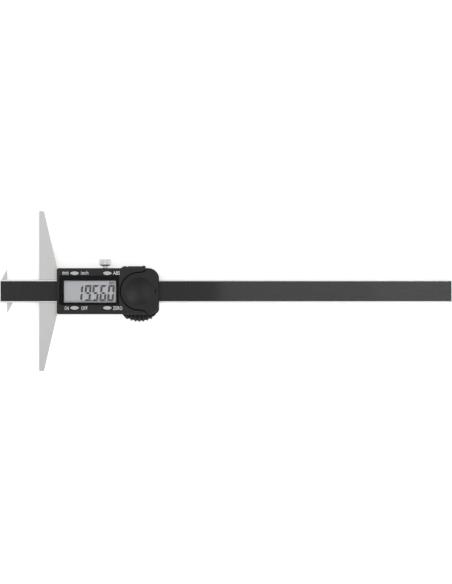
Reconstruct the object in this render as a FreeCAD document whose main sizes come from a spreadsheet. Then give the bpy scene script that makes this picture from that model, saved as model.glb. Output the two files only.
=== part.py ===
import FreeCAD, Part
import math
import os
import types

import Sketcher

# Digital depth gauge with a double hook, lying on its back.
# X runs along the beam from the measuring face towards the tail, Y along the base, Z up to the display.
# The origin is the middle of the measuring face. Millimetres.

doc = FreeCAD.newDocument("DepthGauge")
sheet = doc.addObject("Spreadsheet::Sheet", "Sizes")

# Driving dimensions. Levels are heights above the back of the gauge.
DIMENSIONS = {
    # base
    "base_thickness": 6.2,
    "base_length": 112.0,
    "base_depth": 12.5,
    "base_tip_depth": 3.3,
    "base_edge_radius": 0.5,
    "tongue_setback": 3.0,
    "tongue_thickness": 1.2,
    "tongue_gap": 0.1,
    # slider frame
    "frame_length": 67.5,
    "frame_width": 26.0,
    "floor_thickness": 2.4,
    "lip_thickness": 0.5,
    "lip_overlap": 0.9,
    "run_gap": 0.05,
    "rebate_height": 1.25,
    "rebate_width": 0.9,
    # beam and scale
    "beam_width": 16.0,
    "beam_thickness": 3.6,
    "beam_length": 316.4,
    "beam_reach": 27.4,
    "beam_edge_chamfer": 0.2,
    "channel_depth": 1.2,
    "channel_end_wall": 0.35,
    "strip_width": 14.0,
    "strip_gap": 0.05,
    "strip_board_thickness": 0.9,
    "strip_film_thickness": 0.25,
    # double hook and tail stop
    "hook_thickness": 1.2,
    "hook_plane_setback": 4.9,
    "hook_reach": 6.9,
    "hook_tip_width": 0.45,
    "hook_root_width": 4.0,
    "hook_plate_margin": 0.5,
    "hook_edge_chamfer": 0.4,
    "hook_screw_spacing": 4.4,
    "tail_margin": 2.0,
    "tail_length": 6.0,
    "tail_width": 12.0,
    "tail_screw_spacing": 6.0,
    "small_screw_radius": 0.8,
    "small_screw_head_radius": 1.5,
    "small_screw_depth": 1.8,
    "small_hole_depth": 1.95,
    # gib and its screws
    "gib_start": 24.0,
    "gib_setback": 10.0,
    "gib_thickness": 0.8,
    "gib_pocket_depth": 0.9,
    "gib_end_gap": 0.1,
    "gib_height_gap": 0.1,
    "set_screw_radius": 1.25,
    "set_screw_length": 3.4,
    "set_screw_inset": 6.7,
    "set_screw_end_inset": 8.3,
    "set_screw_slot_width": 0.4,
    "set_screw_slot_depth": 0.6,
    "thread_gap": 0.05,
    # lock screw
    "lock_setback": 37.8,
    "lock_level": 4.25,
    "lock_radius": 1.5,
    "lock_tip_gap": 0.1,
    "lock_head_radius": 4.0,
    "lock_head_length": 4.9,
    "lock_neck_length": 1.65,
    "lock_head_chamfer": 0.9,
    "lock_collar_radius": 2.3,
    "lock_collar_length": 0.5,
    "lock_groove_depth": 0.22,
    "lock_hole_gap": 0.3,
    # housing shells
    "housing_height": 32.3,
    "end_wall_thickness": 4.0,
    "parting_level": 7.4,
    "housing_top": 15.0,
    "near_corner_radius": 1.4,
    "far_corner_radius": 7.6,
    "rest_corner_radius": 4.0,
    "shell_gap": 0.1,
    "ledge_gap": 0.05,
    "beam_port_gap": 0.5,
    "beam_port_height": 6.7,
    "top_edge_radius": 0.8,
    "back_edge_chamfer": 0.4,
    # thumb rest
    "thumb_setback": 13.9,
    "thumb_centre_drop": 2.65,
    "thumb_radius": 19.0,
    "thumb_pitch": 2.88,
    "thumb_crest_width": 0.5,
    "thumb_flute_depth": 0.95,
    "thumb_roll_level": 2.2,
    "thumb_lead_in": 3.1,
    "thumb_run_out": 0.75,
    "thumb_run_out_rise": 1.6,
    "thumb_tail": 2.15,
    # display
    "window_left": 14.2,
    "window_setback": 28.1,
    "window_low": 9.66,
    "window_high": 10.85,
    "window_thickness": 1.0,
    "window_recess": 0.1,
    "window_corner_radius": 0.9,
    "window_gap": 0.05,
    "window_ledge": 1.0,
    "window_ledge_thickness": 0.5,
    "view_left": 17.5,
    "view_right_margin": 2.0,
    "view_low": 7.9,
    "view_high": 7.3,
    "glass_margin": 1.0,
    "glass_thickness": 1.8,
    "bezel_thickness": 0.5,
    "holder_wall": 0.5,
    "holder_gap": 0.1,
    "reflector_thickness": 0.15,
    "reflector_inset": 2.0,
    "zebra_width": 1.6,
    "zebra_inset": 0.1,
    # front shell inside
    "wall_thickness": 1.3,
    "cavity_setback": 27.8,
    "block_right": 18.2,
    "block_top": 9.6,
    # circuit board
    "board_left": 18.4,
    "board_setback": 18.0,
    "board_width": 25.8,
    "board_thickness": 0.8,
    "chip_place": 36.0,
    "chip_radius": 4.0,
    "chip_height": 1.2,
    "part_length": 1.6,
    "part_width": 0.8,
    "part_height": 0.6,
    "part_first": 44.0,
    "part_pitch": 3.0,
    "part_spread": 7.0,
    "board_screw_first": 20.6,
    "board_screw_setback": 2.4,
    "board_screw_spread": 22.8,
    "board_screw_head_height": 0.8,
    "board_screw_head_radius": 1.3,
    "board_screw_length": 2.6,
    # buttons
    "button_left_place": 24.95,
    "button_right_setback": 8.05,
    "button_high": 12.6,
    "button_low": 11.65,
    "button_half_length": 2.97,
    "button_half_width": 1.32,
    "button_end_radius": 0.7,
    "button_gap": 0.43,
    "button_proud": 0.5,
    "button_edge_radius": 0.35,
    "button_dish_depth": 0.15,
    "button_dish_half_width": 0.75,
    "button_flange_margin": 0.65,
    "button_flange_thickness": 0.6,
    "button_play": 0.1,
    "stem_radius": 1.0,
    "stem_place": 11.6,
    "stem_gap": 0.45,
    "mat_thickness": 0.5,
    "mat_width": 2.5,
    "mat_end_margin": 2.4,
    "dome_radius": 1.3,
    "dome_height": 1.2,
    # battery and its lid
    "lid_setback": 13.9,
    "lid_radius": 13.65,
    "lid_thickness": 1.6,
    "lid_gap": 0.85,
    "lid_deck_gap": 0.05,
    "shoulder_run": 4.35,
    "shoulder_rise": 1.28,
    "skirt_wall": 1.2,
    "skirt_level": 9.6,
    "dish_radius": 9.8,
    "dish_depth": 0.8,
    "mark_setback": 2.7,
    "mark_width": 0.6,
    "mark_length": 3.0,
    "mark_depth": 0.95,
    "rail_offset": 12.2,
    "rail_width": 1.0,
    "rail_depth": 0.8,
    "rail_setback": 13.0,
    "cell_radius": 10.0,
    "cell_thickness": 3.2,
    "cell_cap_radius": 8.8,
    "cell_cap_height": 0.5,
    "cell_gap": 0.4,
    "cell_level": 9.85,
    "well_floor_thickness": 1.0,
    "contact_thickness": 0.2,
    "contact_width": 3.0,
    "contact_slot_gap": 0.3,
    "minus_setback": 21.1,
    "minus_reach": 11.0,
    "plus_gap": 0.1,
    "plus_top": 12.4,
    # data port
    "port_left_setback": 26.9,
    "port_right_setback": 9.4,
    "port_travel": 8.0,
    "port_low_level": 8.4,
    "port_high_level": 12.8,
    "port_depth": 0.8,
    "port_rail_depth": 0.4,
    "port_rail_reach": 0.4,
    "port_proud": 1.35,
    "port_slope": 2.2,
    "port_bump_width": 1.9,
    "port_bump_height": 0.35,
    "port_notch_setback": 22.15,
    "port_notch_half_width": 0.5,
    "port_notch_depth": 0.6,
    "port_gap": 0.05,
    "pin_setback": 16.0,
    "pin_pitch": 1.4,
    "pin_width": 0.8,
    "pin_height": 2.4,
    "pin_depth": 1.0,
    # shell and base screws
    "shell_screw_first": 16.2,
    "shell_screw_setback": 7.5,
    "shell_screw_spread": 19.7,
    "shell_screw_radius": 1.0,
    "shell_screw_head_radius": 1.9,
    "shell_screw_length": 9.2,
    "shell_boss_radius": 1.9,
    "screw_gap": 0.1,
    "recess_width": 0.5,
    "recess_depth": 0.6,
    "base_screw_place": 7.5,
    "base_screw_spread": 20.4,
    "base_screw_length": 5.2,
    # how far cutting shapes run past the solid
    "overrun": 2.0,
}

SET_SCREWS = 2
KNURL_COUNT = 36
THUMB_RIDGES = 7
PIN_COUNT = 4
PART_COLUMNS = 3
PART_ROWS = 2
# rounding of the chip's cap, as a share of its height
chip_round_share = 0.8


class Size:
    """A length with the spreadsheet formula that gives it, so that one sum serves both."""

    def __init__(self, value, formula):
        self.value = value
        self.formula = formula

    def __add__(self, other):
        other = as_size(other)
        return Size(self.value + other.value, f"({self.formula} + {other.formula})")

    def __sub__(self, other):
        other = as_size(other)
        return Size(self.value - other.value, f"({self.formula} - {other.formula})")

    def __mul__(self, other):
        other = as_size(other)
        return Size(self.value * other.value, f"({self.formula} * {other.formula})")

    def __truediv__(self, other):
        other = as_size(other)
        return Size(self.value / other.value, f"({self.formula} / {other.formula})")

    def __pow__(self, power):
        return Size(self.value**power, f"({self.formula} ^ {power})")

    def __neg__(self):
        return Size(-self.value, f"(-{self.formula})")

    def __radd__(self, other):
        return as_size(other) + self

    def __rsub__(self, other):
        return as_size(other) - self

    def __rmul__(self, other):
        return as_size(other) * self


def as_size(thing):
    return thing if isinstance(thing, Size) else Size(float(thing), repr(float(thing)))


def fill_sheet():
    """Write every driving dimension to the sheet and hand back the same names as sizes."""
    for row, (alias, value) in enumerate(DIMENSIONS.items(), start=1):
        sheet.set(f"A{row}", alias)
        sheet.set(f"B{row}", str(value))
        sheet.setAlias(f"B{row}", alias)
    doc.recompute()
    return types.SimpleNamespace(
        **{alias: Size(float(sheet.get(alias)), f"Sizes.{alias}") for alias in DIMENSIONS}
    )


dim = fill_sheet()

back_level = -dim.base_thickness / 2
parts = []


def bind(thing, prop, size):
    thing.setExpression(prop, as_size(size).formula)


def place(thing):
    """Every piece is drawn from the back of the gauge up, then dropped so that the origin is mid-face."""
    bind(thing, "Placement.Base.z", back_level)


def new_body(name):
    body = doc.addObject("PartDesign::Body", name)
    body.Label = name
    place(body)
    parts.append(body)
    return body


def new_block(name, x_span, y_span, z_span):
    """A plain rectangular piece."""
    block = doc.addObject("Part::Box", name)
    block.Label = name
    bind(block, "Length", x_span[1] - x_span[0])
    bind(block, "Width", y_span[1] - y_span[0])
    bind(block, "Height", z_span[1] - z_span[0])
    bind(block, "Placement.Base.x", x_span[0])
    bind(block, "Placement.Base.y", y_span[0])
    bind(block, "Placement.Base.z", z_span[0] + back_level)
    parts.append(block)
    return block


def origin_part(body, role):
    return next(f for f in body.Origin.OriginFeatures if f.Role == role)


def new_sketch(body, plane, level, across=0, up=0):
    """A sketch on one of the body's own planes, at a level along it and shifted in it."""
    sketch = body.newObject("Sketcher::SketchObject", "sketch")
    sketch.AttachmentSupport = (origin_part(body, f"{plane}_Plane"), [""])
    sketch.MapMode = "FlatFace"
    facing = -1 if plane == "XZ" else 1
    bind(sketch, "AttachmentOffset.Base.x", across)
    bind(sketch, "AttachmentOffset.Base.y", up)
    bind(sketch, "AttachmentOffset.Base.z", facing * as_size(level))
    return sketch


def pin_point(sketch, edge, point, x, y):
    """Hold one point of the sketch at its x and y from the sketch's origin."""
    for kind, size in (("DistanceX", as_size(x)), ("DistanceY", as_size(y))):
        index = sketch.addConstraint(Sketcher.Constraint(kind, -1, 1, edge, point, size.value))
        bind(sketch, f"Constraints[{index}]", size)


def arc_between(start, end, radius):
    """The shorter arc from start to end: a positive radius turns left, a negative one right."""
    reach = math.dist(start, end) / 2
    height = math.sqrt(max(radius**2 - reach**2, 0))
    side = height / (2 * reach) * math.copysign(1, radius)
    centre = (
        (start[0] + end[0]) / 2 - (end[1] - start[1]) * side,
        (start[1] + end[1]) / 2 + (end[0] - start[0]) * side,
    )
    first, last = (start, end) if radius > 0 else (end, start)
    angles = [math.atan2(p[1] - centre[1], p[0] - centre[0]) for p in (first, last)]
    circle = Part.Circle(FreeCAD.Vector(*centre, 0), FreeCAD.Vector(0, 0, 1), abs(radius))
    return Part.ArcOfCircle(circle, *angles)


def draw_outline(sketch, points):
    """A closed outline. A third number on a point is the signed radius of the arc that leaves it."""
    ends = []
    for i, point in enumerate(points):
        start = tuple(as_size(c).value for c in point[:2])
        end = tuple(as_size(c).value for c in points[(i + 1) % len(points)][:2])
        if len(point) == 3:
            edge = sketch.addGeometry(arc_between(start, end, as_size(point[2]).value), False)
            turns_left = as_size(point[2]).value > 0
            ends.append((edge, 1, 2) if turns_left else (edge, 2, 1))
        else:
            line = Part.LineSegment(FreeCAD.Vector(*start, 0), FreeCAD.Vector(*end, 0))
            ends.append((sketch.addGeometry(line, False), 1, 2))
    for i, (edge, _, tail) in enumerate(ends):
        following, head, _ = ends[(i + 1) % len(ends)]
        sketch.addConstraint(Sketcher.Constraint("Coincident", edge, tail, following, head))
    for point, (edge, head, _) in zip(points, ends):
        pin_point(sketch, edge, head, point[0], point[1])
        if len(point) == 3:
            radius = as_size(point[2])
            radius = radius if radius.value > 0 else -radius
            index = sketch.addConstraint(Sketcher.Constraint("Radius", edge, radius.value))
            bind(sketch, f"Constraints[{index}]", radius)


def draw_box(sketch, x_span, y_span):
    corners = [(x_span[0], y_span[0]), (x_span[1], y_span[0]), (x_span[1], y_span[1]), (x_span[0], y_span[1])]
    draw_outline(sketch, corners)


def draw_circle(sketch, x, y, radius):
    radius = as_size(radius)
    centre = FreeCAD.Vector(as_size(x).value, as_size(y).value, 0)
    edge = sketch.addGeometry(Part.Circle(centre, FreeCAD.Vector(0, 0, 1), radius.value), False)
    pin_point(sketch, edge, 3, x, y)
    index = sketch.addConstraint(Sketcher.Constraint("Radius", edge, radius.value))
    bind(sketch, f"Constraints[{index}]", radius)


def rounded_box(x_span, y_span, low_left, low_right, high_right, high_left):
    """Outline of a rectangle with its own radius at each corner, counter-clockwise from low left."""
    (x0, x1), (y0, y1) = x_span, y_span
    return [
        (x0 + low_left, y0),
        (x1 - low_right, y0, low_right),
        (x1, y0 + low_right),
        (x1, y1 - high_right, high_right),
        (x1 - high_right, y1),
        (x0 + high_left, y1, high_left),
        (x0, y1 - high_left),
        (x0, y0 + low_left, low_left),
    ]


def oval(x, y, half_length, half_width, end_radius):
    """Outline of an oval of four tangent arcs, two tight ends and two shallow sides."""
    end_middle = half_length - end_radius
    side_drop = (end_middle**2 - (half_width - end_radius) ** 2) / (2 * (half_width - end_radius))
    side_radius = half_width + side_drop
    join_x = end_middle + end_radius * end_middle / (side_radius - end_radius)
    join_y = end_radius * side_drop / (side_radius - end_radius)
    return [
        (x + join_x, y - join_y, end_radius),
        (x + join_x, y + join_y, side_radius),
        (x - join_x, y + join_y, end_radius),
        (x - join_x, y - join_y, side_radius),
    ]


def pad(body, sketch, length, reverse=False):
    feature = body.newObject("PartDesign::Pad", "pad")
    feature.Profile = sketch
    bind(feature, "Length", length)
    feature.Reversed = reverse
    doc.recompute()
    return feature


def cut(body, sketch, depth, reverse=False):
    """A pocket against the sketch's normal, or along it in reverse. It has to take something away."""
    before = body.Shape.Volume
    feature = body.newObject("PartDesign::Pocket", "pocket")
    feature.Profile = sketch
    bind(feature, "Length", depth)
    feature.Reversed = reverse
    doc.recompute()
    if body.Shape.Volume >= before:
        raise RuntimeError(f"a pocket of {body.Label} cuts nothing")
    return feature


def revolve(body, sketch, axis, angle=360, reverse=False):
    feature = body.newObject("PartDesign::Revolution", "revolution")
    feature.Profile = sketch
    feature.ReferenceAxis = (sketch, [axis])
    feature.Angle = angle
    feature.Reversed = reverse
    doc.recompute()
    return feature


def repeat_along(body, feature_list, spans):
    """Repeat features along one or two axes; each span is an axis, its whole length and a count."""
    pattern = body.newObject("PartDesign::LinearPattern", "pattern")
    pattern.Originals = feature_list
    for ending, (axis, length, count) in zip(("", "2"), spans):
        setattr(pattern, "Direction" + ending, (origin_part(body, axis), [""]))
        bind(pattern, "Length" + ending, length)
        setattr(pattern, "Occurrences" + ending, count)
    body.Tip = pattern
    doc.recompute()
    return pattern


def edges_where(body, chosen):
    return [f"Edge{i}" for i, edge in enumerate(body.Tip.Shape.Edges, start=1) if chosen(edge)]


def soften(body, kind, size, chosen):
    """Round or chamfer the edges that the test picks, in the body's own levels."""
    names = edges_where(body, chosen)
    if not names:
        raise RuntimeError(f"no edge of {body.Label} is there to soften")
    base = body.Tip
    feature = body.newObject(f"PartDesign::{kind}", kind.lower())
    feature.Base = (base, names)
    bind(feature, "Radius" if kind == "Fillet" else "Size", size)
    doc.recompute()
    if "Invalid" in feature.State:
        raise RuntimeError(f"{body.Label} can't take its {kind.lower()} of {as_size(size).value}")
    return feature


def near(a, b):
    return abs(a - as_size(b).value) < 1e-4


def lies_at_level(level):
    """Test for an edge that lies whole at one height."""
    return lambda edge: near(edge.BoundBox.ZMin, level) and near(edge.BoundBox.ZMax, level)


def is_rim(radius, level):
    """Test for a full circle of this radius at this height."""

    def chosen(edge):
        circular = isinstance(edge.Curve, Part.Circle) and edge.isClosed()
        return circular and near(edge.Curve.Radius, radius) and lies_at_level(level)(edge)

    return chosen


# Heights and places that several pieces share.
beam_back = dim.floor_thickness + dim.run_gap
beam_front = beam_back + dim.beam_thickness
beam_left = -dim.beam_reach
beam_right = dim.beam_length - dim.beam_reach
beam_half = dim.beam_width / 2
guide_half = beam_half + dim.run_gap
frame_left = dim.base_depth
frame_right = frame_left + dim.frame_length
frame_half = dim.frame_width / 2
lip_back = beam_front + dim.run_gap
frame_top = lip_back + dim.lip_thickness
housing_half = dim.housing_height / 2
housing_left = dim.base_depth
housing_right = frame_right + dim.end_wall_thickness
# places measured back from the housing's right end, or from the window's
lid_middle = housing_right - dim.lid_setback
thumb_middle = housing_right - dim.thumb_setback
mark_place = housing_right - dim.mark_setback
rail_start = housing_right - dim.rail_setback
minus_place = housing_right - dim.minus_setback
port_left = housing_right - dim.port_left_setback
port_right = housing_right - dim.port_right_setback
port_notch_place = housing_right - dim.port_notch_setback
pin_first = housing_right - dim.pin_setback
shell_screw_last = housing_right - dim.shell_screw_setback
board_right = housing_right - dim.board_setback
cavity_right = housing_right - dim.cavity_setback
window_right = housing_right - dim.window_setback
lock_place = housing_right - dim.lock_setback
view_right = window_right - dim.view_right_margin
button_right_place = window_right - dim.button_right_setback
board_screw_last = window_right - dim.board_screw_setback
board_top = frame_top + dim.board_thickness
shell_screw_places = [
    (x, side * dim.shell_screw_spread / 2)
    for x in (dim.shell_screw_first, shell_screw_last)
    for side in (-1, 1)
]
board_screw_places = [
    (x, side * dim.board_screw_spread / 2)
    for x in (dim.board_screw_first, board_screw_last)
    for side in (-1, 1)
]
base_screw_places = [(dim.base_screw_place, side * dim.base_screw_spread / 2) for side in (-1, 1)]
gib_end = frame_right - dim.gib_setback
set_screw_first = dim.gib_start + dim.set_screw_inset
set_screw_spacing = gib_end - dim.set_screw_end_inset - set_screw_first


def countersunk_holes(body, places, radius, head_radius, level, depth):
    """Holes from a back face upwards, with a cone for a flat screw head at their mouths."""
    sketch = new_sketch(body, "XY", level)
    for x, y in places:
        draw_circle(sketch, x, y, radius)
    cut(body, sketch, depth, reverse=True)
    soften(body, "Chamfer", head_radius - radius, is_rim(radius, level))


def blind_holes(body, places, radius, level, depth, upwards):
    sketch = new_sketch(body, "XY", level)
    for x, y in places:
        draw_circle(sketch, x, y, radius)
    cut(body, sketch, depth, reverse=upwards)


def flat_head_screws(name, first, spans, radius, head_radius, level, length):
    """Countersunk screws put in from behind, with a cross recess in each head."""
    body = new_body(name)
    sketch = new_sketch(body, "XZ", first[1], across=first[0])
    draw_outline(
        sketch,
        [
            (0, level),
            (head_radius, level),
            (radius, level + head_radius - radius),
            (radius, level + length),
            (0, level + length),
        ],
    )
    screw = revolve(body, sketch, "V_Axis")
    arm = head_radius - dim.recess_width
    half = dim.recess_width / 2
    recesses = []
    for reach, breadth in ((arm, half), (half, arm)):
        sketch = new_sketch(body, "XY", level, across=first[0], up=first[1])
        draw_box(sketch, (-reach, reach), (-breadth, breadth))
        recesses.append(cut(body, sketch, dim.recess_depth, reverse=True))
    repeat_along(body, [screw] + recesses, spans)


# Base: one flat hardened bar with tapering arms, slotted for the beam and rebated behind for the frame.
def make_base():
    body = new_body("base_bridge")
    half = dim.base_length / 2
    sketch = new_sketch(body, "XY", 0)
    draw_outline(
        sketch,
        [
            (0, -half),
            (dim.base_tip_depth, -half),
            (dim.base_depth, -housing_half),
            (dim.base_depth, housing_half),
            (dim.base_tip_depth, half),
            (0, half),
        ],
    )
    pad(body, sketch, dim.base_thickness)

    def at_tip(edge):
        return is_upright(edge) and near(abs(edge.CenterOfMass.y), half)

    soften(body, "Fillet", dim.base_edge_radius, at_tip)
    sketch = new_sketch(body, "XY", dim.base_thickness)
    draw_box(sketch, (-dim.overrun, dim.base_depth + dim.overrun), (-guide_half, guide_half))
    cut(body, sketch, dim.base_thickness - dim.floor_thickness)
    sketch = new_sketch(body, "XY", 0)
    rebate_half = frame_half + dim.tongue_gap
    draw_box(sketch, (dim.tongue_setback, dim.base_depth + dim.overrun), (-rebate_half, rebate_half))
    cut(body, sketch, dim.tongue_thickness + dim.ledge_gap, reverse=True)
    hole_level = dim.tongue_thickness + dim.ledge_gap
    hole_depth = dim.base_screw_length - hole_level
    radius = dim.shell_screw_radius + dim.thread_gap
    blind_holes(body, base_screw_places, radius, hole_level, hole_depth, upwards=True)


def is_upright(edge):
    return near(edge.BoundBox.XLength, 0) and near(edge.BoundBox.YLength, 0)


# Slider frame: a steel channel that runs on the beam, with lips over the beam's steel edges.
def make_frame():
    body = new_body("slider_frame")
    lip_half = beam_half - dim.lip_overlap
    sketch = new_sketch(body, "YZ", frame_left)
    draw_outline(
        sketch,
        [
            (-frame_half, 0),
            (frame_half, 0),
            (frame_half, frame_top),
            (lip_half, frame_top),
            (lip_half, lip_back),
            (guide_half, lip_back),
            (guide_half, dim.floor_thickness),
            (-guide_half, dim.floor_thickness),
            (-guide_half, lip_back),
            (-lip_half, lip_back),
            (-lip_half, frame_top),
            (-frame_half, frame_top),
        ],
    )
    pad(body, sketch, dim.frame_length)
    sketch = new_sketch(body, "XY", 0)
    tongue_left = dim.tongue_setback + dim.tongue_gap
    draw_box(sketch, (tongue_left, frame_left + dim.overrun), (-frame_half, frame_half))
    pad(body, sketch, dim.tongue_thickness)
    sketch = new_sketch(body, "YZ", frame_right)
    for side in (-1, 1):
        inner = side * (frame_half - dim.rebate_width)
        outer = side * (frame_half + dim.overrun)
        span = (outer, inner) if side < 0 else (inner, outer)
        draw_box(sketch, span, (-dim.overrun, dim.rebate_height))
    cut(body, sketch, dim.frame_length)
    sketch = new_sketch(body, "XY", lip_back)
    draw_box(sketch, (dim.gib_start, gib_end), (beam_half, guide_half + dim.gib_pocket_depth))
    cut(body, sketch, lip_back - dim.floor_thickness)
    wall = frame_half - beam_half
    sketch = new_sketch(body, "XZ", frame_half)
    for i in range(SET_SCREWS):
        x = set_screw_first + i * set_screw_spacing
        draw_circle(sketch, x, dim.lock_level, dim.set_screw_radius + dim.thread_gap)
    draw_circle(sketch, lock_place, dim.lock_level, dim.lock_radius + dim.thread_gap)
    cut(body, sketch, wall, reverse=True)
    hole_radius = dim.shell_screw_radius + dim.screw_gap
    head_radius = dim.shell_screw_head_radius + dim.screw_gap
    countersunk_holes(body, shell_screw_places, hole_radius, head_radius, 0, frame_top)
    countersunk_holes(body, base_screw_places, hole_radius, head_radius, 0, dim.tongue_thickness)
    radius = dim.small_screw_radius + dim.thread_gap
    blind_holes(body, board_screw_places, radius, frame_top, dim.board_screw_length, upwards=False)


# Beam: ground steel bar with a channel along its front that holds the scale.
def make_beam():
    body = new_body("beam")
    sketch = new_sketch(body, "XY", beam_back)
    draw_box(sketch, (beam_left, beam_right), (-beam_half, beam_half))
    pad(body, sketch, dim.beam_thickness)
    soften(body, "Chamfer", dim.beam_edge_chamfer, lambda e: near(e.BoundBox.XLength, dim.beam_length))
    channel_half = dim.strip_width / 2 + dim.strip_gap
    sketch = new_sketch(body, "XY", beam_front)
    draw_box(
        sketch,
        (beam_left + dim.channel_end_wall, beam_right - dim.channel_end_wall),
        (-channel_half, channel_half),
    )
    cut(body, sketch, dim.channel_depth)
    radius = dim.small_screw_radius + dim.thread_gap
    places = hook_screw_places + tail_screw_places
    blind_holes(body, places, radius, beam_back, dim.small_hole_depth, upwards=True)


def make_scale():
    x_span = (
        beam_left + dim.channel_end_wall + dim.strip_gap,
        beam_right - dim.channel_end_wall - dim.strip_gap,
    )
    y_span = (-dim.strip_width / 2, dim.strip_width / 2)
    board_level = beam_front - dim.channel_depth
    film_level = board_level + dim.strip_board_thickness
    new_block("scale_board", x_span, y_span, (board_level, film_level))
    new_block("scale_film", x_span, y_span, (film_level, film_level + dim.strip_film_thickness))


hook_plane = beam_left + dim.hook_plane_setback
hook_back = beam_back - dim.hook_thickness
hook_screw_places = [(hook_plane + side * dim.hook_screw_spacing / 2, as_size(0)) for side in (-1, 1)]
tail_right = beam_right - dim.tail_margin
tail_left = tail_right - dim.tail_length
tail_screw_places = [((tail_left + tail_right) / 2, side * dim.tail_screw_spacing / 2) for side in (-1, 1)]


# Double hook: a hardened plate behind the beam's end with one blade to each side, edges on one plane.
def make_hook():
    body = new_body("hook_plate")
    plate_reach = dim.hook_root_width + dim.hook_plate_margin
    tip = beam_half + dim.hook_reach
    sketch = new_sketch(body, "XY", hook_back)
    draw_outline(
        sketch,
        [
            (hook_plane - plate_reach, -beam_half),
            (hook_plane, -beam_half),
            (hook_plane, -tip),
            (hook_plane + dim.hook_tip_width, -tip),
            (hook_plane + dim.hook_root_width, -beam_half),
            (hook_plane + plate_reach, -beam_half),
            (hook_plane + plate_reach, beam_half),
            (hook_plane, beam_half),
            (hook_plane, tip),
            (hook_plane - dim.hook_tip_width, tip),
            (hook_plane - dim.hook_root_width, beam_half),
            (hook_plane - plate_reach, beam_half),
        ],
    )
    pad(body, sketch, dim.hook_thickness)

    def slopes(edge):
        box = edge.BoundBox
        on_back = lies_at_level(hook_back)(edge)
        return on_back and box.YLength > dim.hook_reach.value / 2 and box.XLength > dim.hook_tip_width.value

    soften(body, "Chamfer", dim.hook_edge_chamfer, slopes)
    radius = dim.small_screw_radius + dim.screw_gap
    head_radius = dim.small_screw_head_radius - dim.screw_gap
    countersunk_holes(body, hook_screw_places, radius, head_radius, hook_back, dim.hook_thickness)
    flat_head_screws(
        "hook_screws",
        hook_screw_places[0],
        [("X_Axis", dim.hook_screw_spacing, len(hook_screw_places))],
        dim.small_screw_radius,
        dim.small_screw_head_radius - dim.screw_gap * 2,
        hook_back,
        dim.hook_thickness + dim.small_screw_depth,
    )


# Tail stop: a small plate behind the beam's far end that keeps the slider on.
def make_tail_stop():
    body = new_body("tail_stop")
    sketch = new_sketch(body, "XY", hook_back)
    draw_box(sketch, (tail_left, tail_right), (-dim.tail_width / 2, dim.tail_width / 2))
    pad(body, sketch, dim.hook_thickness)
    radius = dim.small_screw_radius + dim.screw_gap
    head_radius = dim.small_screw_head_radius - dim.screw_gap
    countersunk_holes(body, tail_screw_places, radius, head_radius, hook_back, dim.hook_thickness)
    flat_head_screws(
        "tail_screws",
        tail_screw_places[0],
        [("Y_Axis", dim.tail_screw_spacing, len(tail_screw_places))],
        dim.small_screw_radius,
        dim.small_screw_head_radius - dim.screw_gap * 2,
        hook_back,
        dim.hook_thickness + dim.small_screw_depth,
    )


# Gib: a bronze leaf between the beam's edge and two slotted set screws, to take up play.
def make_gib():
    x_span = (dim.gib_start + dim.gib_end_gap, gib_end - dim.gib_end_gap)
    z_span = (dim.floor_thickness + dim.gib_height_gap, lip_back - dim.gib_height_gap)
    new_block("gib_strip", x_span, (guide_half, guide_half + dim.gib_thickness), z_span)
    body = new_body("gib_screws")
    inner = guide_half + dim.gib_thickness
    outer = inner + dim.set_screw_length
    sketch = new_sketch(body, "XY", dim.lock_level, across=set_screw_first)
    radius = dim.set_screw_radius
    draw_outline(sketch, [(0, inner), (radius, inner), (radius, outer), (0, outer)])
    screw = revolve(body, sketch, "V_Axis")
    sketch = new_sketch(body, "XZ", outer, across=set_screw_first, up=dim.lock_level)
    reach = dim.set_screw_radius + dim.overrun
    draw_box(sketch, (-reach, reach), (-dim.set_screw_slot_width / 2, dim.set_screw_slot_width / 2))
    slot = cut(body, sketch, dim.set_screw_slot_depth, reverse=True)
    repeat_along(body, [screw, slot], [("X_Axis", set_screw_spacing, SET_SCREWS)])


# Lock screw: knurled thumb head on a thin threaded shank that presses the gib from the top edge.
def make_lock_screw():
    body = new_body("lock_screw")
    tip = guide_half + dim.gib_thickness + dim.lock_tip_gap
    head_start = housing_half + dim.lock_neck_length
    head_end = head_start + dim.lock_head_length
    chamfer = dim.lock_head_chamfer
    sketch = new_sketch(body, "XY", dim.lock_level, across=lock_place)
    draw_outline(
        sketch,
        [
            (0, tip),
            (dim.lock_radius, tip),
            (dim.lock_radius, head_start - dim.lock_collar_length),
            (dim.lock_collar_radius, head_start - dim.lock_collar_length),
            (dim.lock_collar_radius, head_start),
            (dim.lock_head_radius - chamfer, head_start),
            (dim.lock_head_radius, head_start + chamfer),
            (dim.lock_head_radius, head_end - chamfer / 2),
            (dim.lock_head_radius - chamfer / 2, head_end),
            (0, head_end),
        ],
    )
    revolve(body, sketch, "V_Axis")
    sketch = new_sketch(body, "XZ", head_end, across=lock_place, up=dim.lock_level)
    bottom = dim.lock_head_radius - dim.lock_groove_depth
    mouth = dim.lock_head_radius + dim.lock_groove_depth
    draw_outline(
        sketch,
        [(-dim.lock_groove_depth * 2, mouth), (0, bottom), (dim.lock_groove_depth * 2, mouth)],
    )
    groove = cut(body, sketch, dim.lock_head_length, reverse=True)
    knurl = body.newObject("PartDesign::PolarPattern", "knurl")
    knurl.Originals = [groove]
    knurl.Axis = (sketch, ["N_Axis"])
    knurl.Angle = 360
    knurl.Occurrences = KNURL_COUNT
    body.Tip = knurl
    doc.recompute()


def flute_radius(start, end):
    """The radius of a flute between two points of the outline, at its middle as deep as all the others."""
    chord_square = (end[0] - start[0]) ** 2 + (end[1] - start[1]) ** 2
    depth = dim.thumb_flute_depth
    return (chord_square / 4 + depth**2) / (2 * depth)


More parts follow.
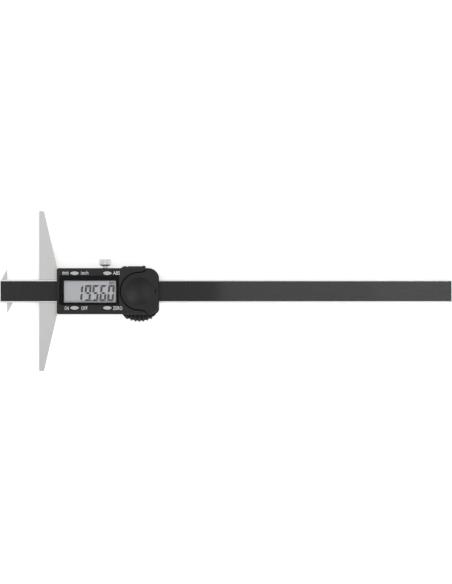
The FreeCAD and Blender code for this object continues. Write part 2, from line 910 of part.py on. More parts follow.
def thumb_outline(edge):
    """The thumb rest from a line at the housing's edge: narrow crests on an arc, hollow flutes between."""
    half_crest = dim.thumb_crest_width / 2
    corners = []
    for i in range(THUMB_RIDGES):
        offset = (i - (THUMB_RIDGES - 1) / 2) * dim.thumb_pitch
        y = -(dim.thumb_centre_drop + (dim.thumb_radius**2 - offset**2) ** 0.5)
        x = thumb_middle + offset
        corners += [(x - half_crest, y), (x + half_crest, y)]
    first_x = corners[0][0]
    last_x, last_y = corners[-1]
    run_out = (last_x + dim.thumb_run_out, last_y + dim.thumb_run_out_rise)
    outline = [(first_x - dim.thumb_lead_in, edge)]
    for crest_start, crest_end, next_crest in zip(corners[::2], corners[1::2], corners[2::2] + [run_out]):
        outline += [crest_start, (*crest_end, -flute_radius(crest_end, next_crest))]
    return outline + [run_out, (run_out[0] + dim.thumb_tail, edge)]


# Rear shell: a plastic surround that hugs the frame, with the fluted thumb rest moulded on.
def make_rear_housing():
    body = new_body("rear_housing")
    radii = (dim.near_corner_radius, dim.rest_corner_radius, dim.far_corner_radius, dim.near_corner_radius)
    outline = rounded_box((housing_left, housing_right), (-housing_half, housing_half), *radii)
    sketch = new_sketch(body, "XY", 0)
    draw_outline(sketch, outline)
    pad(body, sketch, dim.parting_level)
    soften(body, "Chamfer", dim.back_edge_chamfer, lies_at_level(0))
    sketch = new_sketch(body, "XY", 0)
    draw_outline(sketch, thumb_outline(-housing_half + dim.back_edge_chamfer))
    pad(body, sketch, dim.thumb_roll_level)
    sketch = new_sketch(body, "XY", dim.thumb_roll_level, up=-housing_half)
    draw_outline(sketch, [(p[0], p[1] + housing_half, *p[2:]) for p in thumb_outline(-housing_half)])
    revolve(body, sketch, "H_Axis", angle=90, reverse=True)
    room_half = frame_half + dim.shell_gap
    room_right = frame_right + dim.shell_gap
    ledge_top = dim.rebate_height - dim.ledge_gap
    sketch = new_sketch(body, "XY", dim.parting_level)
    draw_box(sketch, (housing_left - dim.overrun, room_right), (-room_half, room_half))
    cut(body, sketch, dim.parting_level - ledge_top)
    ledge_half = frame_half - dim.rebate_width + dim.shell_gap
    sketch = new_sketch(body, "XY", ledge_top)
    draw_box(sketch, (housing_left - dim.overrun, room_right), (-ledge_half, ledge_half))
    cut(body, sketch, ledge_top + dim.overrun)
    port_half = beam_half + dim.beam_port_gap
    sketch = new_sketch(body, "YZ", housing_right + dim.overrun)
    draw_box(sketch, (-port_half, port_half), (-dim.overrun, dim.beam_port_height))
    cut(body, sketch, housing_right + dim.overrun * 2 - frame_right)
    sketch = new_sketch(body, "XZ", housing_half)
    draw_circle(sketch, lock_place, dim.lock_level, dim.lock_radius + dim.lock_hole_gap)
    cut(body, sketch, housing_half - frame_half, reverse=True)


far_corner = housing_right - dim.far_corner_radius
seam_end = far_corner - dim.lid_gap
deck_level = dim.housing_top - dim.lid_thickness - dim.lid_deck_gap
shoulder_radius = (dim.shoulder_run**2 + dim.shoulder_rise**2) / (2 * dim.shoulder_rise)


def seam_points(gap):
    """The lid's inner edge from its upper corner, round the disc, to its lower corner."""
    disc = dim.lid_radius - gap
    shoulder_x = lid_middle + dim.shoulder_run
    shoulder_y = disc + dim.shoulder_rise
    end_x = seam_end + gap
    return [
        (end_x, housing_half),
        (shoulder_x, shoulder_y, -shoulder_radius),
        (lid_middle, disc, disc),
        (lid_middle - disc, 0, disc),
        (lid_middle, -disc, -shoulder_radius),
        (shoulder_x, -shoulder_y),
        (end_x, -housing_half),
    ]


def end_line(corner, radius, wall):
    """A line round the housing's far end, so far inside its outer face, from the low side to the high one."""
    return [
        (corner, -housing_half + wall, radius - wall),
        (housing_right - wall, -housing_half + radius),
        (housing_right - wall, housing_half - radius, radius - wall),
        (corner, housing_half - wall),
    ]


def backwards(line):
    """The same line run the other way: every arc turns the other way too."""
    turns = [[-point[2]] if len(point) == 3 else [] for point in line[:-1]]
    return [(*point[:2], *turn) for point, turn in zip(line[:0:-1], turns[::-1])] + [line[0][:2]]


button_places = {
    "unit_button": (dim.button_left_place, dim.button_high, dim.stem_place),
    "abs_button": (button_right_place, dim.button_high, dim.stem_place),
    "power_button": (dim.button_left_place, -dim.button_low, -dim.stem_place),
    "zero_button": (button_right_place, -dim.button_low, -dim.stem_place),
}
window_back = dim.housing_top - dim.window_recess - dim.window_thickness
ceiling = window_back - dim.window_ledge_thickness
well_radius = dim.cell_radius + dim.cell_gap
well_floor = dim.cell_level - dim.contact_thickness - dim.plus_gap / 2
plus_place = lid_middle - dim.cell_radius - dim.plus_gap - dim.contact_thickness
port_floor = housing_half - dim.port_depth


def button_oval(x, y, margin):
    return oval(
        x, y, dim.button_half_length + margin, dim.button_half_width + margin, dim.button_end_radius + margin
    )


# Front shell: holds the display, keys and cell; its right end is stepped down for the sliding lid.
def make_front_housing():
    body = new_body("front_housing")
    radii = (dim.near_corner_radius, dim.far_corner_radius, dim.far_corner_radius, dim.near_corner_radius)
    sketch = new_sketch(body, "XY", dim.parting_level)
    outline = rounded_box((housing_left, housing_right), (-housing_half, housing_half), *radii)
    draw_outline(sketch, outline)
    pad(body, sketch, dim.housing_top - dim.parting_level)
    soften(body, "Fillet", dim.top_edge_radius, lies_at_level(dim.housing_top))
    cut_lid_step(body)
    cut_display_room(body)
    cut_cell_well(body)
    cut_port(body)
    sketch = new_sketch(body, "XY", frame_top)
    for x, y in shell_screw_places:
        draw_circle(sketch, x, y, dim.shell_boss_radius)
    pad(body, sketch, dim.parting_level - frame_top + dim.ledge_gap)
    depth = dim.shell_screw_length - frame_top + dim.screw_gap
    radius = dim.shell_screw_radius + dim.thread_gap
    blind_holes(body, shell_screw_places, radius, frame_top, depth, upwards=True)


def cut_lid_step(body):
    past_right = housing_right + dim.overrun
    past_half = housing_half + dim.overrun
    sketch = new_sketch(body, "XY", dim.housing_top)
    ends = [
        (seam_end, -past_half),
        (past_right, -past_half),
        (past_right, past_half),
        (seam_end, past_half),
    ]
    draw_outline(sketch, seam_points(as_size(0)) + ends)
    cut(body, sketch, dim.housing_top - deck_level)
    sketch = new_sketch(body, "XY", deck_level)
    wall = dim.skirt_wall + dim.ledge_gap
    inner = end_line(far_corner, dim.far_corner_radius, wall)
    start = (seam_end, wall - housing_half)
    finish = (seam_end, housing_half - wall)
    draw_outline(sketch, [start] + inner + [finish] + ends[::-1])
    cut(body, sketch, deck_level - dim.skirt_level + dim.ledge_gap)
    sketch = new_sketch(body, "XY", deck_level)
    half = dim.rail_width / 2 + dim.shell_gap
    for side in (-1, 1):
        middle = side * dim.rail_offset
        draw_box(sketch, (rail_start - dim.shell_gap, past_right), (middle - half, middle + half))
    cut(body, sketch, dim.rail_depth)


def cut_display_room(body):
    gap = dim.window_gap
    sketch = new_sketch(body, "XY", dim.housing_top)
    radii = [dim.window_corner_radius] * 4
    x_span = (dim.window_left - gap, window_right + gap)
    y_span = (-dim.window_low - gap, dim.window_high + gap)
    draw_outline(sketch, rounded_box(x_span, y_span, *radii))
    cut(body, sketch, dim.housing_top - window_back)
    cavity_left = housing_left + dim.wall_thickness
    cavity_half = housing_half - dim.wall_thickness
    sketch = new_sketch(body, "XY", dim.parting_level)
    draw_box(sketch, (dim.block_right, cavity_right), (-cavity_half, cavity_half))
    cut(body, sketch, ceiling - dim.parting_level, reverse=True)
    sketch = new_sketch(body, "XY", dim.block_top)
    draw_box(sketch, (cavity_left, cavity_right), (-cavity_half, cavity_half))
    cut(body, sketch, ceiling - dim.block_top, reverse=True)
    ledge = dim.window_ledge
    sketch = new_sketch(body, "XY", window_back)
    x_span = (dim.window_left + ledge, window_right - ledge)
    draw_box(sketch, x_span, (-dim.window_low + ledge, dim.window_high - ledge))
    cut(body, sketch, window_back - ceiling + dim.overrun)
    sketch = new_sketch(body, "XY", dim.housing_top)
    for x, y, _ in button_places.values():
        draw_outline(sketch, button_oval(x, y, dim.button_gap))
    cut(body, sketch, dim.housing_top - ceiling + dim.overrun)


def cut_cell_well(body):
    sketch = new_sketch(body, "XY", deck_level)
    draw_circle(sketch, lid_middle, 0, well_radius)
    cut(body, sketch, deck_level - well_floor)
    under_floor = well_floor - dim.well_floor_thickness
    half = dim.contact_width / 2 + dim.contact_slot_gap
    sketch = new_sketch(body, "XY", dim.parting_level)
    draw_box(sketch, (dim.block_right, board_right + dim.screw_gap), (-half * 2, half * 2))
    cut(body, sketch, under_floor - dim.parting_level, reverse=True)
    sketch = new_sketch(body, "XY", dim.parting_level)
    gap = dim.contact_slot_gap
    minus_span = (minus_place - gap, minus_place + dim.contact_thickness + gap)
    draw_box(sketch, minus_span, (-half, half))
    cut(body, sketch, well_floor - dim.parting_level + dim.contact_thickness, reverse=True)
    plus_span = (plus_place - dim.contact_slot_gap, lid_middle - well_radius + dim.contact_slot_gap)
    sketch = new_sketch(body, "XY", dim.parting_level)
    draw_box(sketch, plus_span, (-half, half))
    cut(body, sketch, deck_level - dim.parting_level - dim.contact_slot_gap, reverse=True)


def cut_port(body):
    """A recess with undercut rails along the top edge, and a deeper pocket for the four contacts."""
    low, high = dim.port_low_level, dim.port_high_level
    reach = dim.port_rail_reach
    left = port_left - dim.port_travel - dim.shell_gap
    right = port_right + dim.shell_gap
    sketch = new_sketch(body, "XZ", housing_half)
    draw_box(sketch, (left, right), (low, high))
    cut(body, sketch, dim.port_depth, reverse=True)
    sketch = new_sketch(body, "XZ", port_floor + dim.port_rail_depth)
    draw_box(sketch, (left, right), (low - reach, high + reach))
    cut(body, sketch, dim.port_rail_depth, reverse=True)
    pin_right = pin_first + (PIN_COUNT - 1) * dim.pin_pitch + dim.pin_width
    middle = (low + high) / 2
    sketch = new_sketch(body, "XZ", port_floor)
    margin = dim.shell_gap
    x_span = (pin_first - margin, pin_right + margin)
    draw_box(sketch, x_span, (middle - dim.pin_height / 2 - margin, middle + dim.pin_height / 2 + margin))
    cut(body, sketch, dim.pin_depth, reverse=True)


# Display: clear window over a black holder that clamps the glass on two rubber connectors.
def make_display():
    body = new_body("display_window")
    radii = [dim.window_corner_radius] * 4
    x_span = (dim.window_left, window_right)
    sketch = new_sketch(body, "XY", window_back)
    draw_outline(sketch, rounded_box(x_span, (-dim.window_low, dim.window_high), *radii))
    pad(body, sketch, dim.window_thickness)
    soften(body, "Chamfer", dim.window_recess, lies_at_level(window_back + dim.window_thickness))
    make_display_holder()
    make_glass()


glass_x = (dim.view_left - dim.glass_margin, view_right + dim.glass_margin)
glass_y = (-dim.view_low - dim.glass_margin, dim.view_high + dim.glass_margin)
holder_top = ceiling
glass_front = holder_top - dim.bezel_thickness
glass_back = glass_front - dim.glass_thickness


def make_display_holder():
    body = new_body("display_holder")
    grow = dim.holder_wall + dim.holder_gap
    x_span = (glass_x[0] - grow, glass_x[1] + grow)
    y_span = (glass_y[0] - grow, glass_y[1] + grow)
    upper_level = dim.block_top + dim.holder_gap
    sketch = new_sketch(body, "XY", upper_level)
    draw_box(sketch, x_span, y_span)
    pad(body, sketch, holder_top - upper_level)
    sketch = new_sketch(body, "XY", board_top)
    draw_box(sketch, (dim.board_left + dim.holder_gap, x_span[1]), y_span)
    pad(body, sketch, upper_level - board_top + dim.holder_gap)
    gap = dim.holder_gap
    sketch = new_sketch(body, "XY", glass_front)
    draw_box(sketch, (glass_x[0] - gap, glass_x[1] + gap), (glass_y[0] - gap, glass_y[1] + gap))
    cut(body, sketch, glass_front - board_top + dim.overrun)
    sketch = new_sketch(body, "XY", holder_top)
    draw_box(sketch, (dim.view_left, view_right), (-dim.view_low, dim.view_high))
    cut(body, sketch, dim.bezel_thickness + dim.overrun)


def make_glass():
    new_block("lcd_panel", glass_x, glass_y, (glass_back, glass_front))
    inset = dim.reflector_inset
    new_block(
        "lcd_reflector",
        (glass_x[0] + inset, glass_x[1] - inset),
        (glass_y[0] + inset, glass_y[1] - inset),
        (glass_back - dim.reflector_thickness, glass_back),
    )
    body = new_body("zebra_strips")
    sketch = new_sketch(body, "XY", board_top)
    x_span = (dim.board_left + dim.glass_margin, glass_x[1] - dim.zebra_inset)
    low = glass_y[0] + dim.zebra_inset
    high = glass_y[1] - dim.zebra_inset
    draw_box(sketch, x_span, (low, low + dim.zebra_width))
    draw_box(sketch, x_span, (high - dim.zebra_width, high))
    pad(body, sketch, glass_back - board_top)


# Circuit board: reads the scale from its underside and carries the chip, parts and contacts.
def make_board():
    body = new_body("main_board")
    sketch = new_sketch(body, "XY", frame_top)
    half = dim.board_width / 2
    draw_box(sketch, (dim.board_left, board_right), (-half, half))
    pad(body, sketch, dim.board_thickness)
    radius = dim.small_screw_radius + dim.screw_gap
    blind_holes(body, board_screw_places, radius, board_top, dim.board_thickness, upwards=False)
    chip = new_body("board_chip")
    sketch = new_sketch(chip, "XY", board_top)
    draw_circle(sketch, dim.chip_place, 0, dim.chip_radius)
    pad(chip, sketch, dim.chip_height)
    soften(chip, "Fillet", dim.chip_height * chip_round_share, lies_at_level(board_top + dim.chip_height))
    small = new_body("board_parts")
    sketch = new_sketch(small, "XY", board_top)
    low = -dim.part_spread / 2
    draw_box(sketch, (dim.part_first, dim.part_first + dim.part_length), (low, low + dim.part_width))
    first = pad(small, sketch, dim.part_height)
    spans = [
        ("X_Axis", dim.part_pitch * (PART_COLUMNS - 1), PART_COLUMNS),
        ("Y_Axis", dim.part_spread, PART_ROWS),
    ]
    repeat_along(small, [first], spans)
    make_board_screws()


def make_board_screws():
    body = new_body("board_screws")
    x, y = board_screw_places[0]
    sketch = new_sketch(body, "XZ", y, across=x)
    tip = board_top - dim.board_screw_length
    draw_outline(
        sketch,
        [
            (0, tip),
            (dim.small_screw_radius, tip),
            (dim.small_screw_radius, board_top),
            (dim.board_screw_head_radius, board_top),
            (dim.board_screw_head_radius, board_top + dim.board_screw_head_height),
            (0, board_top + dim.board_screw_head_height),
        ],
    )
    screw = revolve(body, sketch, "V_Axis")
    sketch = new_sketch(body, "XY", board_top + dim.board_screw_head_height, across=x, up=y)
    reach = dim.board_screw_head_radius + dim.overrun
    draw_box(sketch, (-reach, reach), (-dim.set_screw_slot_width / 2, dim.set_screw_slot_width / 2))
    slot = cut(body, sketch, dim.board_screw_head_height / 2)
    spans = [
        ("X_Axis", board_screw_last - dim.board_screw_first, 2),
        ("Y_Axis", dim.board_screw_spread, 2),
    ]
    repeat_along(body, [screw, slot], spans)


# Keys: oval caps with a flange under the roof and a stem down to a rubber dome.
def make_buttons():
    dome_top = board_top + dim.mat_thickness + dim.dome_height
    flange_top = ceiling - dim.button_play
    flange_back = flange_top - dim.button_flange_thickness
    cap_top = dim.housing_top + dim.button_proud
    for name, (x, y, stem_y) in button_places.items():
        body = new_body(name)
        sketch = new_sketch(body, "XY", flange_top)
        draw_outline(sketch, button_oval(x, y, as_size(0)))
        pad(body, sketch, cap_top - flange_top)
        soften(body, "Fillet", dim.button_edge_radius, lies_at_level(cap_top))
        cut_key_trough(body, x, y, cap_top)
        sketch = new_sketch(body, "XY", flange_back)
        draw_outline(sketch, button_oval(x, y, dim.button_flange_margin))
        pad(body, sketch, dim.button_flange_thickness)
        sketch = new_sketch(body, "XY", dome_top + dim.stem_gap)
        draw_circle(sketch, x, stem_y, dim.stem_radius)
        pad(body, sketch, flange_back - dome_top - dim.stem_gap + dim.button_play)


def cut_key_trough(body, x, y, cap_top):
    """A shallow hollow along the cap for the fingertip."""
    half, depth = dim.button_dish_half_width, dim.button_dish_depth
    radius = (half**2 + depth**2) / (2 * depth)
    end = x + dim.button_half_length + dim.overrun
    sketch = new_sketch(body, "YZ", end)
    draw_outline(sketch, [(y - half, cap_top, radius), (y + half, cap_top)])
    cut(body, sketch, (dim.button_half_length + dim.overrun) * 2)


def make_button_mats():
    """Two rubber strips on the board, each with a dome under two of the keys."""
    body = new_body("button_mats")
    left = dim.button_left_place - dim.mat_end_margin
    right = button_right_place + dim.mat_end_margin
    sketch = new_sketch(body, "XY", board_top)
    for side in (-1, 1):
        middle = side * dim.stem_place
        draw_box(sketch, (left, right), (middle - dim.mat_width / 2, middle + dim.mat_width / 2))
    pad(body, sketch, dim.mat_thickness)
    sketch = new_sketch(body, "XY", board_top)
    for x, _, stem_y in button_places.values():
        draw_circle(sketch, x, stem_y, dim.dome_radius)
    pad(body, sketch, dim.mat_thickness + dim.dome_height)


# Power: a coin cell in its well, a side contact to its can and a leaf under its cap.
def make_cell():
    body = new_body("coin_cell")
    level = dim.cell_level
    cap_top = level + dim.cell_cap_height
    sketch = new_sketch(body, "XZ", 0, across=lid_middle)
    draw_outline(
        sketch,
        [
            (0, level),
            (dim.cell_cap_radius, level),
            (dim.cell_cap_radius, cap_top),
            (dim.cell_radius, cap_top),
            (dim.cell_radius, level + dim.cell_thickness),
            (0, level + dim.cell_thickness),
        ],
    )
    revolve(body, sketch, "V_Axis")
    make_contacts()


def make_contacts():
    half = dim.contact_width / 2
    thin = dim.contact_thickness
    plus_span = (plus_place, plus_place + thin)
    new_block("plus_contact", plus_span, (-half, half), (board_top, dim.plus_top))
    body = new_body("minus_contact")
    leaf_top = well_floor + thin
    sketch = new_sketch(body, "XZ", half)
    place_x = minus_place
    tip = place_x + dim.minus_reach
    draw_outline(
        sketch,
        [
            (place_x, board_top),
            (place_x + thin, board_top),
            (place_x + thin, well_floor),
            (tip, well_floor),
            (tip, leaf_top),
            (place_x, leaf_top),
        ],
    )
    pad(body, sketch, dim.contact_width)


# Battery lid: slides off to the right; a finger dish in its disc and a skirt round the end.
def make_lid():
    body = new_body("battery_lid")
    level = deck_level + dim.lid_deck_gap
    outer = end_line(far_corner, dim.far_corner_radius, as_size(0))
    sketch = new_sketch(body, "XY", level)
    draw_outline(sketch, seam_points(dim.lid_gap)[:-1] + outer[:-1])
    pad(body, sketch, dim.lid_thickness)

    def on_outer_rim(edge):
        outside = edge.CenterOfMass.x > far_corner.value
        return outside and lies_at_level(dim.housing_top)(edge)

    soften(body, "Fillet", dim.top_edge_radius, on_outer_rim)
    make_lid_underside(body, level, outer)
    sphere = (dim.dish_radius**2 + dim.dish_depth**2) / (2 * dim.dish_depth)
    sketch = new_sketch(body, "XZ", 0, across=lid_middle)
    top = dim.housing_top
    draw_outline(sketch, [(0, top - dim.dish_depth, sphere), (dim.dish_radius, top), (0, top)])
    before = body.Shape.Volume
    dish = body.newObject("PartDesign::Groove", "dish")
    dish.Profile = sketch
    dish.ReferenceAxis = (sketch, ["V_Axis"])
    dish.Angle = 360
    doc.recompute()
    if body.Shape.Volume >= before:
        raise RuntimeError("the lid's dish cuts nothing")
    sketch = new_sketch(body, "XY", top)
    x_span = (mark_place, mark_place + dim.mark_width)
    draw_box(sketch, x_span, (-dim.mark_length / 2, dim.mark_length / 2))
    cut(body, sketch, dim.mark_depth)


def make_lid_underside(body, level, outer):
    """The skirt round the lid's outer end and the two rails that run in the deck's grooves."""
    inner = end_line(far_corner, dim.far_corner_radius, dim.skirt_wall)
    sketch = new_sketch(body, "XY", dim.skirt_level)
    draw_outline(sketch, outer + backwards(inner))
    pad(body, sketch, level - dim.skirt_level + dim.lid_deck_gap)
    half = dim.rail_width / 2
    sketch = new_sketch(body, "XY", level - dim.rail_depth + dim.shell_gap)
    for side in (-1, 1):
        middle = side * dim.rail_offset
        draw_box(sketch, (rail_start, far_corner), (middle - half, middle + half))
    pad(body, sketch, dim.rail_depth)


# Data port: four contacts in the top edge behind a cover that slides along undercut rails.
def make_port():
    gap = dim.port_gap
    reach = dim.port_rail_reach
    low, high = dim.port_low_level, dim.port_high_level
    body = new_body("port_cover")
    sketch = new_sketch(body, "XY", low - reach + gap)
    rail_back = port_floor + gap
    rail_front = port_floor + dim.port_rail_depth - gap
    draw_box(sketch, (port_left, port_right), (rail_back, rail_front))
    pad(body, sketch, high - low + reach * 2 - gap * 2)
    face = housing_half + dim.port_proud
    bump_left = port_right - dim.port_bump_width
    bump_step = dim.port_bump_height
    notch_x, notch_half = port_notch_place, dim.port_notch_half_width
    sketch = new_sketch(body, "XY", low + gap)
    draw_outline(
        sketch,
        [
            (port_left, rail_back),
            (port_right, rail_back),
            (port_right, face - bump_step),
            (port_right - bump_step, face + bump_step),
            (bump_left, face + bump_step),
            (bump_left - bump_step, face),
            (notch_x + notch_half, face),
            (notch_x, face - dim.port_notch_depth),
            (notch_x - notch_half, face),
            (port_left + dim.port_slope, face),
            (port_left, housing_half),
        ],
    )
    pad(body, sketch, high - low - gap * 2)
    pins = new_body("port_contacts")
    middle = (low + high) / 2
    sketch = new_sketch(pins, "XZ", port_floor - dim.pin_depth)
    x_span = (pin_first, pin_first + dim.pin_width)
    draw_box(sketch, x_span, (middle - dim.pin_height / 2, middle + dim.pin_height / 2))
    first = pad(pins, sketch, dim.pin_depth - dim.port_gap, reverse=True)
    repeat_along(pins, [first], [("X_Axis", (PIN_COUNT - 1) * dim.pin_pitch, PIN_COUNT)])


def make_screws():
    """The four shell screws and the two that hold the base, all put in from behind."""
    x, y = shell_screw_places[0]
    spans = [
        ("X_Axis", shell_screw_last - dim.shell_screw_first, 2),
        ("Y_Axis", dim.shell_screw_spread, 2),
    ]
    head_radius = dim.shell_screw_head_radius
    flat_head_screws(
        "shell_screws", (x, y), spans, dim.shell_screw_radius, head_radius, 0, dim.shell_screw_length
    )
    flat_head_screws(
        "base_screws",
        base_screw_places[0],
        [("Y_Axis", dim.base_screw_spread, len(base_screw_places))],
        dim.shell_screw_radius,
        head_radius,
        0,
        dim.base_screw_length - dim.screw_gap,
    )


def check_and_write():
    """Stop on any failed object or bad shape, then write one STEP file for each piece."""
    doc.recompute()
    for thing in doc.Objects:
        if "Invalid" in thing.State or "Error" in thing.State:
            raise RuntimeError(f"{thing.Label} has failed: {thing.State}")
    for part in parts:
        if part.Shape.isNull() or not part.Shape.isValid() or not part.Shape.Solids:
            raise RuntimeError(f"{part.Label} is not a valid solid")
    os.makedirs("parts", exist_ok=True)
    for part in parts:
        part.Shape.exportStep(f"parts/{part.Label}.step")
        box = part.Shape.BoundBox
        print(
            f"{part.Label:16} solids {len(part.Shape.Solids):2} volume {part.Shape.Volume:9.2f}"
            f"  x {box.XMin:8.2f} {box.XMax:8.2f}  y {box.YMin:7.2f} {box.YMax:7.2f}"
            f"  z {box.ZMin:6.2f} {box.ZMax:6.2f}"
        )


make_base()
make_frame()
make_beam()
make_scale()
make_hook()
make_tail_stop()
make_gib()
make_lock_screw()
make_rear_housing()
make_front_housing()
make_display()
make_board()
make_buttons()
make_button_mats()
make_cell()
make_lid()
make_port()
make_screws()
check_and_write()
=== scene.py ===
import math

import bpy
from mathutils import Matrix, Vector


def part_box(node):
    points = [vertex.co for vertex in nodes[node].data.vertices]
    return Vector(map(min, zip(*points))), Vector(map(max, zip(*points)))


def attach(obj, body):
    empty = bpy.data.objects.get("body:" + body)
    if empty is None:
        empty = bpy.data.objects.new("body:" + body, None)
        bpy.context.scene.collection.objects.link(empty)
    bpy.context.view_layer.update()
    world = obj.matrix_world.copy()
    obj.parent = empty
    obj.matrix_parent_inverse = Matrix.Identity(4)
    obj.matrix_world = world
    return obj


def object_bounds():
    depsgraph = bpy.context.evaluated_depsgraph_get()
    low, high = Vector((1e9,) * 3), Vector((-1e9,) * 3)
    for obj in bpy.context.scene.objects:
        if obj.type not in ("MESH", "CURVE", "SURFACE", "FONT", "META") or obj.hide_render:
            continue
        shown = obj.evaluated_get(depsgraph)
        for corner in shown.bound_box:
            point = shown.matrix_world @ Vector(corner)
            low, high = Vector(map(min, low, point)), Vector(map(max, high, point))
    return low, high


# Digital depth gauge with a double hook, lying on its back. The solids come from the frame.
# X runs along the beam, Y along the base and Z out of the display. Metres; MM turns millimetres into them.
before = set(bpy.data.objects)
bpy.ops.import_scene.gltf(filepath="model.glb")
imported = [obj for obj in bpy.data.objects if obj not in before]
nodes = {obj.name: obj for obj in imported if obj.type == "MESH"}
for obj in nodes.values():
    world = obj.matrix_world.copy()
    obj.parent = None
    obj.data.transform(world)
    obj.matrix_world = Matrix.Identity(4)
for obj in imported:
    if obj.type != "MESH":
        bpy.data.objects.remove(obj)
cad_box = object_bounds()
MM = 0.001


# Base
# The base is one flat bar of hardened tool steel with two tapering arms. It is ground all over and
# satin chromed, so it is an even pale grey with a very fine grain along its length.
def new_finish(name, colour, **fixed):
    """A material with one shader. Values that hold all over the surface sit on the shader's own sockets."""
    material = bpy.data.materials.new(name)
    material.use_nodes = True
    shader = material.node_tree.nodes["Principled BSDF"]
    shader.inputs["Base Color"].default_value = (*colour, 1)
    for socket, value in fixed.items():
        shader.inputs[socket.replace("_", " ")].default_value = value
    return material


def new_node(material, kind, inputs, **settings):
    """A node with its settings and its inputs: an input is a number, a colour or another node's output."""
    made = material.node_tree.nodes.new(kind)
    for name, value in settings.items():
        setattr(made, name, value)
    for name, value in inputs.items():
        if isinstance(value, bpy.types.NodeSocket):
            material.node_tree.links.new(value, made.inputs[name])
        else:
            made.inputs[name].default_value = value
    return made


def feed(material, socket, source):
    shader = material.node_tree.nodes["Principled BSDF"]
    material.node_tree.links.new(source, shader.inputs[socket])


def millimetres(material, stretch=(1, 1, 1), centre=(0, 0, 0)):
    """The surface's own coordinates in millimetres about a centre, stretched along each axis."""
    coords = new_node(material, "ShaderNodeTexCoord", {})
    shift = [-c * s for c, s in zip(centre, stretch)]
    scale = [s / MM for s in stretch]
    mapping = new_node(
        material,
        "ShaderNodeMapping",
        {"Vector": coords.outputs["Object"], "Location": shift, "Scale": scale},
    )
    return mapping.outputs["Vector"]


def grain(material, space, per_mm, detail=2.0, roughness=0.5):
    """Noise with so many grains to the millimetre."""
    made = new_node(
        material,
        "ShaderNodeTexNoise",
        {"Vector": space, "Scale": per_mm, "Detail": detail, "Roughness": roughness},
    )
    return made.outputs["Fac"]


def spread(material, source, low, high, start=0.3, end=0.7):
    """Turn a pattern from start to end into a value from low to high."""
    made = new_node(
        material,
        "ShaderNodeMapRange",
        {"Value": source, "From Min": start, "From Max": end, "To Min": low, "To Max": high},
    )
    return made.outputs["Result"]


def tones(material, source, stops, hard=False):
    """Turn a pattern into colours: each stop is a place on the pattern and a colour."""
    ramp = new_node(material, "ShaderNodeValToRGB", {"Fac": source})
    ramp.color_ramp.interpolation = "CONSTANT" if hard else "LINEAR"
    elements = ramp.color_ramp.elements
    while len(elements) < len(stops):
        elements.new(0.5)
    for element, (place, colour) in zip(elements, stops):
        element.position = place
        element.color = (*colour, 1)
    return ramp.outputs["Color"]


def shade(colour, factor):
    return tuple(c * factor for c in colour)


def mottled(material, pattern, colour, darkest, palest, start=0.3, end=0.7):
    """The colour, made darker where the pattern is low and paler where it is high."""
    return tones(material, pattern, [(start, shade(colour, darkest)), (end, shade(colour, palest))])


def relief(material, source, height_mm, strength=1.0):
    """Raise the surface by a pattern, so many millimetres from its lowest to its highest."""
    made = new_node(
        material,
        "ShaderNodeBump",
        {"Height": source, "Distance": height_mm * MM, "Strength": strength},
    )
    feed(material, "Normal", made.outputs["Normal"])


def combined(material, first, second, operation="ADD"):
    """The two values added, or joined by another operation."""
    made = new_node(material, "ShaderNodeMath", {0: first, 1: second}, operation=operation)
    return made.outputs[0]


SCRATCH_MM = 0.0015
SCRATCH_SHARE = 0.7
CLOUD_SHARE = 0.3


def ground_metal(name, colour, stretch, rough, contrast):
    """Ground or brushed metal: lines along the axis with the small stretch, over a soft cloudiness."""
    material = new_finish(name, colour, Metallic=1.0)
    lines = grain(material, millimetres(material, stretch), per_mm=3.0, detail=4.0, roughness=0.6)
    cloud = grain(material, millimetres(material), per_mm=0.12)
    line_part = combined(material, lines, SCRATCH_SHARE, "MULTIPLY")
    cloud_part = combined(material, cloud, CLOUD_SHARE, "MULTIPLY")
    both = combined(material, line_part, cloud_part)
    feed(material, "Base Color", mottled(material, both, colour, 1 - contrast, 1 + contrast, 0.35, 0.65))
    feed(material, "Roughness", spread(material, lines, *rough))
    relief(material, lines, SCRATCH_MM, strength=0.6)
    return material


def wears(material, *names):
    """These pieces of the frame get this finish."""
    for name in names:
        piece = nodes[name]
        piece.data.materials.clear()
        piece.data.materials.append(material)


SATIN_STEEL = (0.43, 0.426, 0.418)
ALONG_Y = (1.0, 0.04, 1.0)
base_finish = ground_metal("satin_chromed_base", SATIN_STEEL, ALONG_Y, rough=(0.29, 0.35), contrast=0.035)
wears(base_finish, "base_bridge")


# Slider frame
# The frame is a milled and ground steel channel, bare steel, with its grain along the beam. The screws
# that hold the base and the shells to it go in from behind and end flush in their countersinks.
FRAME_STEEL = (0.42, 0.416, 0.408)
ALONG_X = (0.04, 1.0, 1.0)
frame_finish = ground_metal("ground_frame_steel", FRAME_STEEL, ALONG_X, rough=(0.34, 0.44), contrast=0.06)
wears(frame_finish, "slider_frame")

TOOL_MARK_MM = 0.004
NICKEL = (0.52, 0.50, 0.46)
BLACKENED = (0.045, 0.044, 0.043)


def plated(name, colour, rough):
    """Plated turned or pressed metal, with fine tool marks and a little dirt."""
    material = new_finish(name, colour, Metallic=1.0)
    marks = grain(material, millimetres(material), per_mm=6.0, detail=3.0)
    feed(material, "Base Color", mottled(material, marks, colour, 0.8, 1.12))
    feed(material, "Roughness", spread(material, marks, *rough))
    relief(material, marks, TOOL_MARK_MM)
    return material


nickel_screw = plated("nickelled_screw", NICKEL, rough=(0.22, 0.34))
wears(nickel_screw, "base_screws", "gib_screws", "hook_screws", "tail_screws", "board_screws")
black_screw = plated("blackened_screw", BLACKENED, rough=(0.32, 0.44))
wears(black_screw, "shell_screws")


